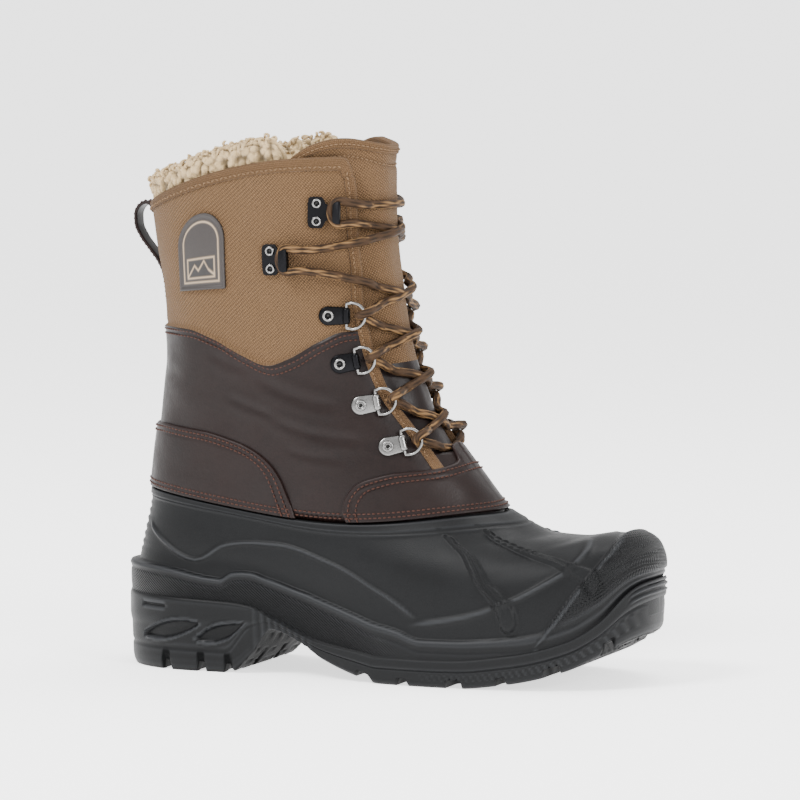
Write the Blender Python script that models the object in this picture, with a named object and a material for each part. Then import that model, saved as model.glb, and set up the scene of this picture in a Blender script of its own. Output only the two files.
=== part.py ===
"""Fleece-lined winter ankle boot, right foot: rubber outsole and galosh, leather and nylon shaft, lace and trim.

Metres, +Z up, toe along +X, outer side of the foot towards -Y, standing on z = 0.
Every curved piece reads the same surface: a stack of closed rings round the foot. A place on it is given by
level (0 where the galosh meets the outsole, 1 at the galosh's rim, 2 at the collar), by turn (0 at the back
line, 0.5 at the front line, by way of the outer side) and by a distance off the surface.
"""

import bmesh
import bpy
import math
import numpy as np

# Driving sizes of the boot, in metres
SOLE_LENGTH = 0.315
BALL_WIDTH = 0.108
HEEL_WIDTH = 0.080
INSTEP_WIDTH = 0.084
SHAFT_WIDTH = 0.093
SHAFT_DEPTH = 0.142         # back line to front line at the collar
SHAFT_BACK = 0.013          # the collar's back line stands this far in front of the sole's back end
RIM_HEIGHT = 0.100          # galosh rim at the back of the heel
TOE_HEIGHT = 0.082          # top of the toe cap
BACK_HEIGHT = 0.258         # collar at the back
FRONT_HEIGHT = 0.286        # collar at the front
TONGUE_HEIGHT = 0.297       # top of the tongue
HEEL_LIFT = 0.041           # top of the outsole's side under the heel
ARCH_HOLLOW = 0.026         # height of the hollow in front of the heel block
TOE_SPRING = 0.030          # underside of the sole at the toe's tip
TOE_SWING = 0.011           # the toe leans this far to the inner side
RIM_SAG = 0.0095            # the rim dips this much between heel and instep
COLLAR_ARCH = 0.0085        # the collar rises this much above a straight line from back to front

# Walls, clearances and trim, in metres
GAP = 0.0003                # clearance between pieces that touch
SEAT_GAP = 0.0009           # clearance between the outsole's side and the galosh standing on it
OVERLAY_GAP = 0.0007        # clearance under an overlay, because facets of curved pieces don't match
TUCK_GAP = 0.0010           # clearance of the leather's lower edge inside the galosh
SHELL_WALL = 0.0030
UPPER_WALL = 0.0020
LEATHER_STEP = 0.0010       # the leather stands this much proud of the nylon
RIM_STEP = 0.0010           # the rim band stands this much proud of the galosh
TOE_STEP = 0.0012           # the toe cap stands this much proud
SOLE_LIP = 0.0018           # the outsole's side stands this far outside the galosh
TREAD_DEPTH = 0.0055
TONGUE_THICK = 0.0035
INSOLE_THICK = 0.0040
OVERLAY_THICK = 0.0012
FLEECE_THICK = 0.0110
FLEECE_DEPTH = 0.0360       # how far the fleece roll reaches down inside the collar
FLEECE_RISE = 0.0125        # how far it stands above the collar
FLEECE_LOCK = 0.0024        # swell of its locks
FLEECE_LEAN = 0.0042        # how far it leans out over the collar's edge
FLEECE_WAY = 0.625          # it ends beside the tongue's edges
BINDING_WIDTH = 0.0050      # height of the binding round the collar
BINDING_WAY = 0.030         # and its width down the facings, as a way

# Galosh sections, bottom to top. Columns: level, back line and front line as shares of the sole's length,
# front height as a share of the toe cap's height, half widths as shares of the heel's and the ball's width,
# and the lengths of the rounded front and back ends as shares of the ring's own length.
SECTION_COLUMNS = ("level", "back_x", "front_x", "front_z", "heel_half", "ball_half", "front_round", "back_round")
GALOSH_SECTIONS = (
    (0.00, 0.0240, 0.982, 0.690, 0.485, 0.480, 0.23, 0.17),
    (0.15, 0.0220, 0.985, 0.800, 0.490, 0.482, 0.24, 0.18),
    (0.30, 0.0220, 0.976, 0.920, 0.485, 0.478, 0.26, 0.19),
    (0.42, 0.0260, 0.950, 0.990, 0.475, 0.470, 0.29, 0.20),
    (0.54, 0.0310, 0.905, 1.000, 0.465, 0.460, 0.33, 0.21),
    (0.68, 0.0370, 0.850, 0.970, 0.452, 0.445, 0.37, 0.22),
    (0.80, 0.0420, 0.800, 0.975, 0.440, 0.425, 0.40, 0.23),
    (0.90, 0.0450, 0.760, 1.030, 0.432, 0.405, 0.42, 0.24),
    (1.00, 0.0470, 0.713, 1.125, 0.425, 0.390, 0.44, 0.25),
)

# Shaft sections above the rim. Columns: rise as a share of the way from rim to collar, back and front lines as
# shares of the shaft's depth from the collar's back line, front height as a share of the way from the rim to
# the collar's front, half widths as shares of the width, and the rounded ends as above. The width itself goes
# evenly from the instep's at the rim to the shaft's at the collar.
SHAFT_SECTIONS = (
    (0.12, 0.028, 1.385, 0.092, 0.410, 0.491, 0.45, 0.27),
    (0.22, 0.044, 1.288, 0.184, 0.410, 0.479, 0.45, 0.29),
    (0.36, 0.068, 1.170, 0.310, 0.433, 0.467, 0.46, 0.32),
    (0.50, 0.084, 1.095, 0.450, 0.465, 0.475, 0.46, 0.35),
    (0.70, 0.070, 1.042, 0.645, 0.493, 0.493, 0.46, 0.38),
    (0.85, 0.042, 1.007, 0.815, 0.504, 0.506, 0.46, 0.40),
    (1.00, 0.018, 1.000, 1.000, 0.500, 0.500, 0.46, 0.42),
)

# Side view of the outsole. Columns: share of the sole's length, top of its side as a share of the heel lift,
# underside as a share of the arch hollow and as a share of the toe spring, foot bed above the floor as a share
# of the heel lift.
SOLE_COLUMNS = ("along", "top", "arch", "spring", "bed")
SOLE_SIDE = (
    (0.000, 1.00, 0.16, 0.00, 1.06),
    (0.025, 1.00, 0.00, 0.00, 1.06),
    (0.240, 0.95, 0.00, 0.00, 1.06),
    (0.285, 0.91, 0.42, 0.00, 1.03),
    (0.325, 0.78, 0.98, 0.00, 0.98),
    (0.385, 0.58, 0.72, 0.00, 0.86),
    (0.425, 0.48, 0.42, 0.00, 0.76),
    (0.495, 0.40, 0.12, 0.00, 0.64),
    (0.540, 0.35, 0.00, 0.00, 0.60),
    (0.680, 0.35, 0.00, 0.00, 0.58),
    (0.780, 0.42, 0.00, 0.12, 0.62),
    (0.870, 0.60, 0.00, 0.36, 0.68),
    (0.920, 0.82, 0.00, 0.62, 0.76),
    (0.970, 1.27, 0.00, 0.92, 0.90),
    (1.000, 1.44, 0.00, 1.02, 0.98),
)

# Line round the lower galosh: heel band, side guard and front lip. Columns: share of the sole's length, level of
# the line, and how far the rubber below it stands proud, in metres.
BAND_COLUMNS = ("along", "level", "proud")
BAND_LINE = (
    (0.000, 0.300, 0.0050),
    (0.120, 0.280, 0.0046),
    (0.200, 0.235, 0.0034),
    (0.225, 0.230, 0.0028),
    (0.250, 0.310, 0.0026),
    (0.290, 0.345, 0.0025),
    (0.383, 0.360, 0.0024),
    (0.516, 0.255, 0.0023),
    (0.572, 0.210, 0.0022),
    (0.620, 0.150, 0.0020),
    (0.700, 0.150, 0.0018),
    (0.850, 0.120, 0.0014),
    (0.950, 0.100, 0.0008),
    (1.000, 0.100, 0.0004),
)

# Line where leather ends and nylon begins. Columns: way from back line (0) to front line (1) of the ring, level.
LEATHER_COLUMNS = ("way", "level")
LEATHER_LINE = (
    (0.00, 1.580),
    (0.15, 1.580),
    (0.29, 1.573),
    (0.38, 1.540),
    (0.45, 1.495),
    (0.52, 1.465),
    (0.58, 1.485),
    (0.67, 1.535),
    (0.75, 1.565),
    (1.00, 1.575),
)

# Edges of the facings. Columns: level, way of the edge along the ring.
THROAT_COLUMNS = ("level", "way")
THROAT_EDGE = (
    (1.00, 0.870),
    (1.20, 0.862),
    (1.30, 0.850),
    (1.40, 0.826),
    (1.55, 0.818),
    (1.65, 0.818),
    (1.75, 0.836),
    (1.90, 0.844),
    (2.00, 0.830),
)

ROUND_COUNT = 52            # columns round the sole and the galosh

THROAT_LEVEL = 1.200        # bottom of the throat
TONGUE_WAY = 0.640          # way of the tongue's side edges
TONGUE_SWELL = 0.0050       # the tongue stands this far forward between the facings
TONGUE_PUFF = 0.0026        # and this much more at its top
COLLAR_CORNER = 0.045       # the collar's front corners are rounded by this much of the level

# Top edges of the two overlays of the lower leather, and the tab that closes the throat. Columns: way, level.
EDGE_COLUMNS = ("way", "level")
SADDLE_TOP = (
    (0.586, 1.030),
    (0.596, 1.070),
    (0.612, 1.100),
    (0.638, 1.128),
    (0.668, 1.142),
    (0.732, 1.155),
    (0.828, 1.158),
    (0.900, 1.166),
    (0.945, 1.180),
    (0.965, 1.220),
    (1.000, 1.226),
)
TAB_TOP = SADDLE_TOP[-1][1]
COUNTER_TOP = (
    (0.000, 1.232),
    (0.080, 1.232),
    (0.180, 1.240),
    (0.312, 1.240),
    (0.402, 1.222),
    (0.440, 1.202),
    (0.468, 1.170),
    (0.482, 1.130),
    (0.492, 1.040),
)
OVERLAY_FOOT = 1.012        # level at which both overlays begin, just above the rim

# Ribs over each side of the toe. Columns: level, way, half width in metres.
SHORT_RIB = (
    (0.895, 0.738, 0.0022),
    (0.750, 0.712, 0.0024),
    (0.595, 0.694, 0.0026),
    (0.350, 0.690, 0.0030),
    (0.160, 0.698, 0.0034),
)
LONG_RIB = (
    (0.895, 0.850, 0.0018),
    (0.785, 0.824, 0.0020),
    (0.660, 0.808, 0.0022),
    (0.545, 0.800, 0.0024),
    (0.405, 0.800, 0.0032),
    (0.230, 0.822, 0.0038),
)
RIB_PROUD = 0.0018

# Lace hardware of one side, bottom to top. Columns: level and way of the rivet, level and way of the ring or head.
CLIPS = (
    (1.230, 0.748, 1.240, 0.822),
    (1.355, 0.730, 1.365, 0.810),
    (1.470, 0.708, 1.482, 0.790),
    (1.610, 0.702, 1.610, 0.788),
)
HOOKS = (
    (1.760, 0.568, 1.760, 0.620),
    (1.875, 0.714, 1.875, 0.782),
)
CLIP_HALF = 0.0052          # half width of a clip's plate
CLIP_THICK = 0.0013
RIVET_RADIUS = 0.0032
RIVET_RISE = 0.0012
RING_WIRE = 0.00125         # radius of a ring's wire
RING_HALF = 0.0072          # half height of a ring
RING_DEPTH = 0.0105         # from the middle of its bar to the middle of its bow
HOOK_HALF = 0.0085          # half height of a hook's base plate
HOOK_THICK = 0.0012
LACE_RADIUS = 0.0020
LACE_CHORD = 0.0085         # length of a strand's straight pieces
LACE_GAP = 0.0010           # clearance between the lace and the tongue or a facing
LACE_STOP = 0.0080          # a strand stops this far from the middle of its ring
LACE_STEP = 0.018           # levels between a strand's end and the middle of its ring

# The badge on the outer side: bare arched patch
BADGE_SHARE = 0.345         # its middle, as a share of the shaft's depth from the collar's back line
BADGE_HALF = 0.0148
BADGE_LEVELS = (1.690, 1.900)
BADGE_THICK = 0.0010

# Pull loop and backstay up the back line. Columns: level, distance off the surface in metres.
LOOP_COLUMNS = ("level", "off")
LOOP_PATH = (
    (1.615, -0.0004),
    (1.690, -0.0003),
    (1.760, 0.0000),
    (1.805, 0.0018),
    (1.850, 0.0056),
    (1.900, 0.0102),
    (1.942, 0.0124),
    (1.975, 0.0120),
    (1.999, 0.0096),
    (2.008, 0.0064),
    (1.998, 0.0036),
    (1.975, 0.0026),
)
LOOP_HALF = 0.0050
LOOP_THICK = 0.0016

# Cross grooves of the tread. Columns: share of the sole's length, width in metres, depth as a share of the tread.
TREAD_GROOVES = (
    (0.105, 0.0045, 1.0),
    (0.172, 0.0040, 1.0),
    (0.224, 0.0040, 0.9),
    (0.515, 0.0080, 0.6),
    (0.590, 0.0050, 0.7),
    (0.685, 0.0080, 1.0),
    (0.770, 0.0050, 0.7),
    (0.855, 0.0080, 1.0),
    (0.940, 0.0050, 0.9),
)

FINISHES = {
    "rubber": ((0.018, 0.020, 0.022), 0.62),
    "leather": ((0.060, 0.030, 0.022), 0.42),
    "nylon": ((0.220, 0.125, 0.058), 0.85),
    "binding": ((0.250, 0.135, 0.060), 0.80),
    "fleece": ((0.700, 0.580, 0.420), 0.95),
    "insole_felt": ((0.500, 0.420, 0.320), 0.95),
    "lace_cord": ((0.110, 0.060, 0.035), 0.80),
    "gunmetal": ((0.120, 0.120, 0.125), 0.35),
    "nickel": ((0.620, 0.620, 0.600), 0.25),
}


def clear_scene():
    """Remove every object that the open file holds."""
    for item in list(bpy.data.objects):
        bpy.data.objects.remove(item, do_unlink=True)


def finish_of(name):
    """Principled material of one finish, made once."""
    made = bpy.data.materials.get(name)
    if made:
        return made
    colour, rough = FINISHES[name]
    made = bpy.data.materials.new(name)
    made.use_nodes = True
    shader = made.node_tree.nodes["Principled BSDF"]
    shader.inputs["Base Color"].default_value = (*colour, 1.0)
    shader.inputs["Roughness"].default_value = rough
    shader.inputs["Metallic"].default_value = 1.0 if name in ("gunmetal", "nickel") else 0.0
    return made


def monotone(keys, values, at):
    """Smooth curve through rows of a table that never swings past them."""
    at = np.asarray(at, float)
    step = np.diff(keys)
    slope = np.diff(values) / step
    tangent = np.zeros(len(keys))
    same_way = slope[:-1] * slope[1:] > 0
    total = np.where(same_way, slope[:-1] + slope[1:], 1.0)
    tangent[1:-1] = np.where(same_way, 2 * slope[:-1] * slope[1:] / total, 0.0)
    tangent[0] = slope[0]
    tangent[-1] = slope[-1]
    left = np.clip(np.searchsorted(keys, at) - 1, 0, len(step) - 1)
    share = np.clip((at - keys[left]) / step[left], 0, 1)
    start = (1 + 2 * share) * (1 - share) ** 2
    end = share ** 2 * (3 - 2 * share)
    curve = start * values[left] + end * values[left + 1]
    curve += share * (1 - share) ** 2 * step[left] * tangent[left]
    return curve + share ** 2 * (share - 1) * step[left] * tangent[left + 1]


def column_of(columns, rows, name, at):
    """One named column of a table, read as a smooth curve of its first column."""
    data = np.array(rows, float)
    return monotone(data[:, 0], data[:, columns.index(name)], at)


def all_sections():
    """Galosh and shaft sections in metres, one row for each level."""
    rows = []
    for level, back, front, front_z, heel, ball, front_round, back_round in GALOSH_SECTIONS:
        rows.append((level, along_sole(back), along_sole(front), level * RIM_HEIGHT, front_z * TOE_HEIGHT,
                     heel * HEEL_WIDTH, ball * BALL_WIDTH, front_round, back_round))
    rim_front = rows[-1][4]
    collar_back = along_sole(0) + SHAFT_BACK
    for rise, back, front, front_z, heel, ball, front_round, back_round in SHAFT_SECTIONS:
        width = INSTEP_WIDTH + (SHAFT_WIDTH - INSTEP_WIDTH) * rise
        rows.append((1 + rise, collar_back + back * SHAFT_DEPTH, collar_back + front * SHAFT_DEPTH,
                     RIM_HEIGHT + rise * (BACK_HEIGHT - RIM_HEIGHT),
                     rim_front + front_z * (FRONT_HEIGHT - rim_front),
                     heel * width, ball * width, front_round, back_round))
    return np.array(rows)


def along_sole(share):
    """X of a share of the sole's length, from its back end."""
    return (np.asarray(share, float) - 0.5) * SOLE_LENGTH


def sole_share(x):
    """Share of the sole's length at x."""
    return x / SOLE_LENGTH + 0.5


def smooth_step(low, high, at):
    """0 below low, 1 above high, an even S between."""
    share = np.clip((at - low) / (high - low), 0, 1)
    return share * share * (3 - 2 * share)


SECTIONS = all_sections()
ABOVE_COLLAR = BACK_HEIGHT - RIM_HEIGHT     # height of one level above the collar
TURN_STEP = 0.006           # steps over which the surface's direction is measured
LEVEL_STEP = 0.02


def way_of(turn):
    """Way from the back line to the front line, 0 to 1, on either side."""
    return 1 - np.abs(1 - 2 * (np.asarray(turn, float) % 1.0))


def bare_surface(level, turn):
    """Point of the rings: an egg-shaped ring at each level, whose height rises along it."""
    level, turn = np.broadcast_arrays(np.asarray(level, float), np.asarray(turn, float))
    held = np.clip(level, 0.0, 2.0)
    values = [monotone(SECTIONS[:, 0], SECTIONS[:, index], held) for index in range(1, 9)]
    back_x, front_x, back_z, front_z, heel_half, ball_half, front_round, back_round = values
    side = np.where(turn % 1.0 < 0.5, -1.0, 1.0)
    share = (1 - np.cos(np.pi * way_of(turn))) / 2
    x = back_x + (front_x - back_x) * share
    along = sole_share(x)
    fore = smooth_step(0.12, 0.66, share)
    half = heel_half + (ball_half - heel_half) * fore
    low = np.clip(1 - held, 0, 1)
    half = half - low * BALL_WIDTH * 0.045 * np.exp(-((along - 0.40) / 0.11) ** 2) * np.where(side > 0, 1.6, 0.6)
    half = half + low * BALL_WIDTH * 0.022 * np.exp(-((along - 0.68) / 0.14) ** 2)
    front_end = np.clip((share - 1 + front_round) / front_round, 0, 1)
    back_end = np.clip((back_round - share) / back_round, 0, 1)
    half = half * (1 - front_end ** 2.3) ** (1 / 2.3) * (1 - back_end ** 2.2) ** (1 / 2.2)
    centre = TOE_SWING * (np.clip(along, 0, 1) ** 2.2) * np.clip(1.3 - 0.9 * held, 0, 1) - 0.0015
    rim_z = RIM_HEIGHT + (SECTIONS[len(GALOSH_SECTIONS) - 1, 4] - RIM_HEIGHT) * share
    dip = np.sin(np.pi * share ** 1.25)
    rim_z = rim_z - RIM_SAG * dip
    base_z = column_of(SOLE_COLUMNS, SOLE_SIDE, "top", along) * HEEL_LIFT + SEAT_GAP / 3
    galosh_z = base_z + (rim_z - base_z) * np.clip(held, 0, 1)
    sag = RIM_SAG * np.clip(1 - (held - 1) / 0.5, 0, 1) * dip
    arch = COLLAR_ARCH * smooth_step(1.5, 2.0, held) * np.sin(np.pi * share)
    shaft_z = back_z + (front_z - back_z) * share - sag + arch
    side_z = np.where(held <= 1, galosh_z, shaft_z)
    nose = share ** (6 + 30 * np.clip(1 - held / 0.3, 0, 1) ** 2)
    z = side_z * (1 - nose) + front_z * nose
    return np.stack([x, centre + side * half, z + (level - held) * ABOVE_COLLAR], axis=-1)


def surface(level, turn, off=0.0):
    """Point at a distance off the rings, along their outward normal."""
    level, turn, off = np.broadcast_arrays(*(np.asarray(item, float) for item in (level, turn, off)))
    round_way = bare_surface(level, turn + TURN_STEP) - bare_surface(level, turn - TURN_STEP)
    middle = np.clip(level, LEVEL_STEP, 2 - LEVEL_STEP)
    up_way = bare_surface(middle + LEVEL_STEP, turn) - bare_surface(middle - LEVEL_STEP, turn)
    normal = np.cross(round_way, up_way)
    normal /= np.linalg.norm(normal, axis=-1, keepdims=True)
    return bare_surface(level, turn) + normal * off[..., None]


def solid_object(name, points, faces, finish):
    """One closed mesh object, faces turned outwards."""
    mesh = bpy.data.meshes.new(name)
    mesh.from_pydata([tuple(point) for point in points], [], faces)
    shape = bmesh.new()
    shape.from_mesh(mesh)
    bmesh.ops.recalc_face_normals(shape, faces=shape.faces)
    if shape.calc_volume(signed=True) < 0:
        bmesh.ops.reverse_faces(shape, faces=shape.faces)
    shape.to_mesh(mesh)
    shape.free()
    mesh.materials.append(finish_of(finish))
    item = bpy.data.objects.new(name, mesh)
    bpy.context.scene.collection.objects.link(item)
    mesh.shade_smooth()
    mesh.set_sharp_from_angle(angle=math.radians(38))
    return item


def walled(name, outer, inner, finish, wrap=False, keep=None):
    """Solid wall between an outer and an inner grid of points; cells left out of keep are open right through."""
    rows, columns = outer.shape[:2]
    cell_rows = rows - 1
    cell_columns = columns if wrap else columns - 1
    if keep is None:
        keep = np.ones((cell_rows, cell_columns), bool)
    points = np.concatenate([outer.reshape(-1, 3), inner.reshape(-1, 3)])
    back = rows * columns

    def index(row, column):
        return row * columns + column % columns

    faces = []
    for row in range(cell_rows):
        for column in range(cell_columns):
            if not keep[row, column]:
                continue
            ring = [index(row, column), index(row, column + 1), index(row + 1, column + 1), index(row + 1, column)]
            faces.append(tuple(ring))
            faces.append(tuple(corner + back for corner in reversed(ring)))
            near = ((row - 1, column), (row, column + 1), (row + 1, column), (row, column - 1))
            for edge, (next_row, next_column) in enumerate(near):
                if wrap:
                    next_column %= cell_columns
                inside = 0 <= next_row < cell_rows and 0 <= next_column < cell_columns
                if inside and keep[next_row, next_column]:
                    continue
                start = ring[edge]
                end = ring[(edge + 1) % 4]
                faces.append((end, start, start + back, end + back))
    used = sorted({corner for face in faces for corner in face})
    renumber = {old: new for new, old in enumerate(used)}
    faces = [tuple(renumber[corner] for corner in face) for face in faces]
    return solid_object(name, points[used], faces, finish)


def stacked(name, rings, finish):
    """Solid through closed rings of equal count, closed at both ends by bands from side to side."""
    count = len(rings[0])
    points = np.concatenate(rings)
    faces = []
    for level in range(len(rings) - 1):
        for column in range(count):
            after = (column + 1) % count
            low = level * count
            high = low + count
            faces.append((low + column, low + after, high + after, high + column))
    half = count // 2
    top = (len(rings) - 1) * count
    for base in (0, top):
        for column in range(half):
            corners = [base + column, base + column + 1, base + (count - column - 1) % count,
                       base + (count - column) % count]
            flat = list(dict.fromkeys(corners))
            faces.append(tuple(reversed(flat)) if base == 0 else tuple(flat))
    return solid_object(name, points, faces, finish)


def cut(item, cutter):
    """Take one shape out of another for good."""
    change = item.modifiers.new("cut", "BOOLEAN")
    change.operation = "DIFFERENCE"
    change.object = cutter
    cutter.hide_render = True
    cutter.display_type = "WIRE"


def even_turns(count):
    """Turns spread so that both ends of the ring get a point and the sides are even."""
    return np.arange(count) / count


def band_level(along):
    """Level of the line round the lower galosh."""
    return column_of(BAND_COLUMNS, BAND_LINE, "level", along)


def band_proud(along):
    """How far the rubber below that line stands proud."""
    return column_of(BAND_COLUMNS, BAND_LINE, "proud", along)


def galosh():
    """Moulded rubber galosh: hollow, open at the rim and underneath, with heel band, side guard and toe cap."""
    turns = even_turns(ROUND_COUNT)
    along = sole_share(bare_surface(0.2, turns)[:, 0])
    line = band_level(along)
    below = [0.0, 0.5, 0.94]
    above = [0.04, 0.20, 0.38, 0.56, 0.72, 0.84]
    rows = [line * share for share in below]
    rows += [line + (1 - line) * share for share in above]
    rows += [np.full_like(line, level) for level in (0.925, 0.940, 1.0)]
    levels = np.array(rows)
    turn_grid = np.broadcast_to(turns, levels.shape)
    proud = np.zeros_like(levels)
    proud[:len(below)] = band_proud(along)
    proud[-2:] = RIM_STEP
    places = sole_share(bare_surface(levels, turn_grid)[..., 0])
    proud += TOE_STEP * smooth_step(0.875, 0.900, places) * (proud < RIM_STEP)
    outer = surface(levels, turn_grid, proud)
    inner = surface(levels, turn_grid, -SHELL_WALL)
    outer[0] = flat_offset(0.0, turns, proud[0])
    inner[0] = flat_offset(0.0, turns, np.full(len(turns), -SHELL_WALL))
    shell = walled("rubber_galosh", outer, inner, "rubber", wrap=True)
    for side, word in ((-1, "outer"), (1, "inner")):
        rib(shell, SHORT_RIB, side, "short_rib_cutter_%s" % word)
        rib(shell, LONG_RIB, side, "long_rib_cutter_%s" % word)


def flat_offset(level, turns, off):
    """Ring of the surface moved sideways only, off its own plan outline."""
    ring = bare_surface(level, turns)
    tangent = bare_surface(level, turns + TURN_STEP) - bare_surface(level, turns - TURN_STEP)
    normal = np.stack([tangent[:, 1], -tangent[:, 0]], axis=-1)
    normal /= np.linalg.norm(normal, axis=-1, keepdims=True)
    ring[:, :2] += normal * np.asarray(off)[..., None]
    return ring


def sole_bottom(along):
    """Height of the underside, without the tread's grooves."""
    arch = column_of(SOLE_COLUMNS, SOLE_SIDE, "arch", along) * ARCH_HOLLOW
    return arch + column_of(SOLE_COLUMNS, SOLE_SIDE, "spring", along) * TOE_SPRING


def bed_height(x):
    """Height of the foot bed, on which the insole lies."""
    return column_of(SOLE_COLUMNS, SOLE_SIDE, "bed", sole_share(x)) * HEEL_LIFT


def outsole():
    """Lugged rubber sole with heel block, arch hollow, toe spring, stepped side and raised foot bed."""
    turns = even_turns(ROUND_COUNT)
    base = bare_surface(0.0, turns)
    along = sole_share(base[:, 0])
    top = base[:, 2] - SEAT_GAP
    bottom = sole_bottom(along)
    band = band_proud(along)
    side = ((-0.0060, 0.00), (-0.0015, 0.00), (0.0005, 0.12), (0.0010, 0.55), (SOLE_LIP, 0.66), (SOLE_LIP, 1.00))
    rings = []
    for off, rise in side:
        ring = flat_offset(0.0, turns, off + band * 0.8)
        ring[:, 2] = bottom + (top - bottom) * rise
        rings.append(ring)
    inside = -(SHELL_WALL + GAP + 0.0012)
    foot = flat_offset(0.0, turns, np.full(len(turns), inside))
    foot[:, 2] = top
    bed = foot.copy()
    bed[:, 2] = bed_height(foot[:, 0])
    sole = stacked("outsole", rings + [foot, bed], "rubber")
    for number, (share, width, depth) in enumerate(TREAD_GROOVES):
        deep = TREAD_DEPTH * depth
        floor = float(sole_bottom(share))
        slope = math.atan2(float(sole_bottom(share + 0.01)) - float(sole_bottom(share - 0.01)), SOLE_LENGTH * 0.02)
        bpy.ops.mesh.primitive_cube_add(size=1.0, location=(float(along_sole(share)), 0, floor))
        groove = bpy.context.object
        groove.name = "groove_cutter_%d" % number
        groove.dimensions = (width, BALL_WIDTH * 1.4, deep * 2)
        groove.rotation_euler = (0, -slope, 0)
        cut(sole, groove)


def insole():
    """Felt insole board lying on the foot bed, clear of the galosh all round."""
    turns = even_turns(ROUND_COUNT)
    low = flat_offset(0.0, turns, np.full(len(turns), -(SHELL_WALL + GAP + 0.0030)))
    low[:, 2] = bed_height(low[:, 0]) + GAP * 1.5
    high = low.copy()
    high[:, 2] += INSOLE_THICK
    stacked("insole", [low, high], "insole_felt")


def throat_way(level):
    """Way of the facings' edges at a level."""
    return column_of(THROAT_COLUMNS, THROAT_EDGE, "way", level)


def leather_level(way):
    """Level at which the leather ends at a way."""
    return column_of(LEATHER_COLUMNS, LEATHER_LINE, "level", way)


def upper():
    """Leather and nylon shaft and vamp: one wall, open at the collar, the throat and underneath."""
    side_columns = 18
    front_columns = 6
    out_side = np.concatenate([np.linspace(0, 0.95, side_columns - 1), (0.98, 1.0)])
    shares = np.linspace(0, 1, front_columns + 1)[1:-1]
    low_rows = (0.900, 1.004, 1.018, 1.040)
    throat_rows = (1.090, 1.145, THROAT_LEVEL)
    rows = []
    turn_rows = []
    edge_way = float(throat_way(1.5))
    half_way = np.concatenate([out_side * edge_way, np.linspace(edge_way, 1, front_columns // 2 + 1)[1:]])
    leather = leather_level(np.concatenate([half_way, half_way[-2:0:-1]]))
    for level in low_rows + throat_rows:
        rows.append(np.full_like(leather, level))
    for share in (0.33, 0.66, 0.97, 1.03):
        rows.append(THROAT_LEVEL + (leather - THROAT_LEVEL) * share)
    leather_rows = len(rows) - 1
    corner = np.zeros_like(leather)
    for column, drop in ((side_columns, 1.0), (side_columns - 1, 0.35), (side_columns - 2, 0.06)):
        corner[column] = drop * COLLAR_CORNER
        corner[-column] = corner[column]
    for share in (0.25, 0.5, 0.75, 1.0):
        rows.append(leather + (2.0 - corner - leather) * share)
    levels = np.array(rows)
    edge = throat_way(levels)
    count = levels.shape[1]
    turns = np.zeros_like(levels)
    for column in range(side_columns + 1):
        turns[:, column] = edge[:, column] * out_side[column] / 2
    for step, share in enumerate(shares):
        column = side_columns + 1 + step
        turns[:, column] = edge[:, column] / 2 + (1 - edge[:, column]) * share
    for column in range(1, side_columns + 1):
        turns[:, -column] = 1 - edge[:, -column] * out_side[column] / 2
    outer_off = np.zeros_like(levels)
    tucked = -(SHELL_WALL + TUCK_GAP)
    outer_off[0:2] = tucked
    outer_off[2] = -0.0006
    outer_off[leather_rows:] = -LEATHER_STEP
    inner_off = np.full_like(levels, -(LEATHER_STEP + UPPER_WALL))
    inner_off[0:2] = tucked - UPPER_WALL
    inner_off[2] = tucked - UPPER_WALL * 0.6
    keep = np.ones((levels.shape[0] - 1, count), bool)
    first_open = len(low_rows) + len(throat_rows) - 1
    keep[first_open:, side_columns:side_columns + front_columns] = False
    walled("upper", surface(levels, turns, outer_off), surface(levels, turns, inner_off), "leather", True, keep)


def tongue_off(level, across):
    """Outer face of the tongue off the surface: under the facings at its sides, swelling forward between them."""
    free = smooth_step(0.58, 0.95, 1 - np.abs(across))
    rise = smooth_step(THROAT_LEVEL + 0.02, THROAT_LEVEL + 0.20, level)
    under = -(LEATHER_STEP + UPPER_WALL + TUCK_GAP)
    return under + (TONGUE_SWELL + TONGUE_PUFF * smooth_step(1.60, 2.00, level)) * free * rise


def tongue_grid(levels, across):
    """Turns of the tongue's columns: it is narrower at its root."""
    edge = TONGUE_WAY + (1 - TONGUE_WAY) * 0.30 * (1 - smooth_step(1.1, 1.9, levels))
    return 0.5 + across * (1 - edge) / 2


def tongue():
    """Padded tongue behind the facings, from under the vamp to above the collar."""
    across = np.linspace(-1, 1, 15)
    rises = np.linspace(0, 1, 11)
    top = 2.0 + (TONGUE_HEIGHT - FRONT_HEIGHT) / ABOVE_COLLAR * (1 - np.abs(across) ** 5)
    bottom = 1.10
    levels = bottom + (top[None, :] - bottom) * rises[:, None]
    spread = np.broadcast_to(across[None, :], levels.shape)
    turns = tongue_grid(levels, spread)
    off = tongue_off(levels, spread)
    outer = surface(levels, turns, off)
    inner = surface(levels, turns, off - TONGUE_THICK)
    walled("tongue", outer, inner, "nylon")


def plate(name, levels, turns, inside, thick, finish):
    """Thin plate lying on the surface, over grids of levels and turns."""
    return walled(name, surface(levels, turns, inside + thick), surface(levels, turns, inside), finish)


def side_turn(way, side):
    """Turn of a way on the outer (-1) or inner (+1) side."""
    return np.where(np.asarray(side) < 0, np.asarray(way) / 2, 1 - np.asarray(way) / 2)


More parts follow.
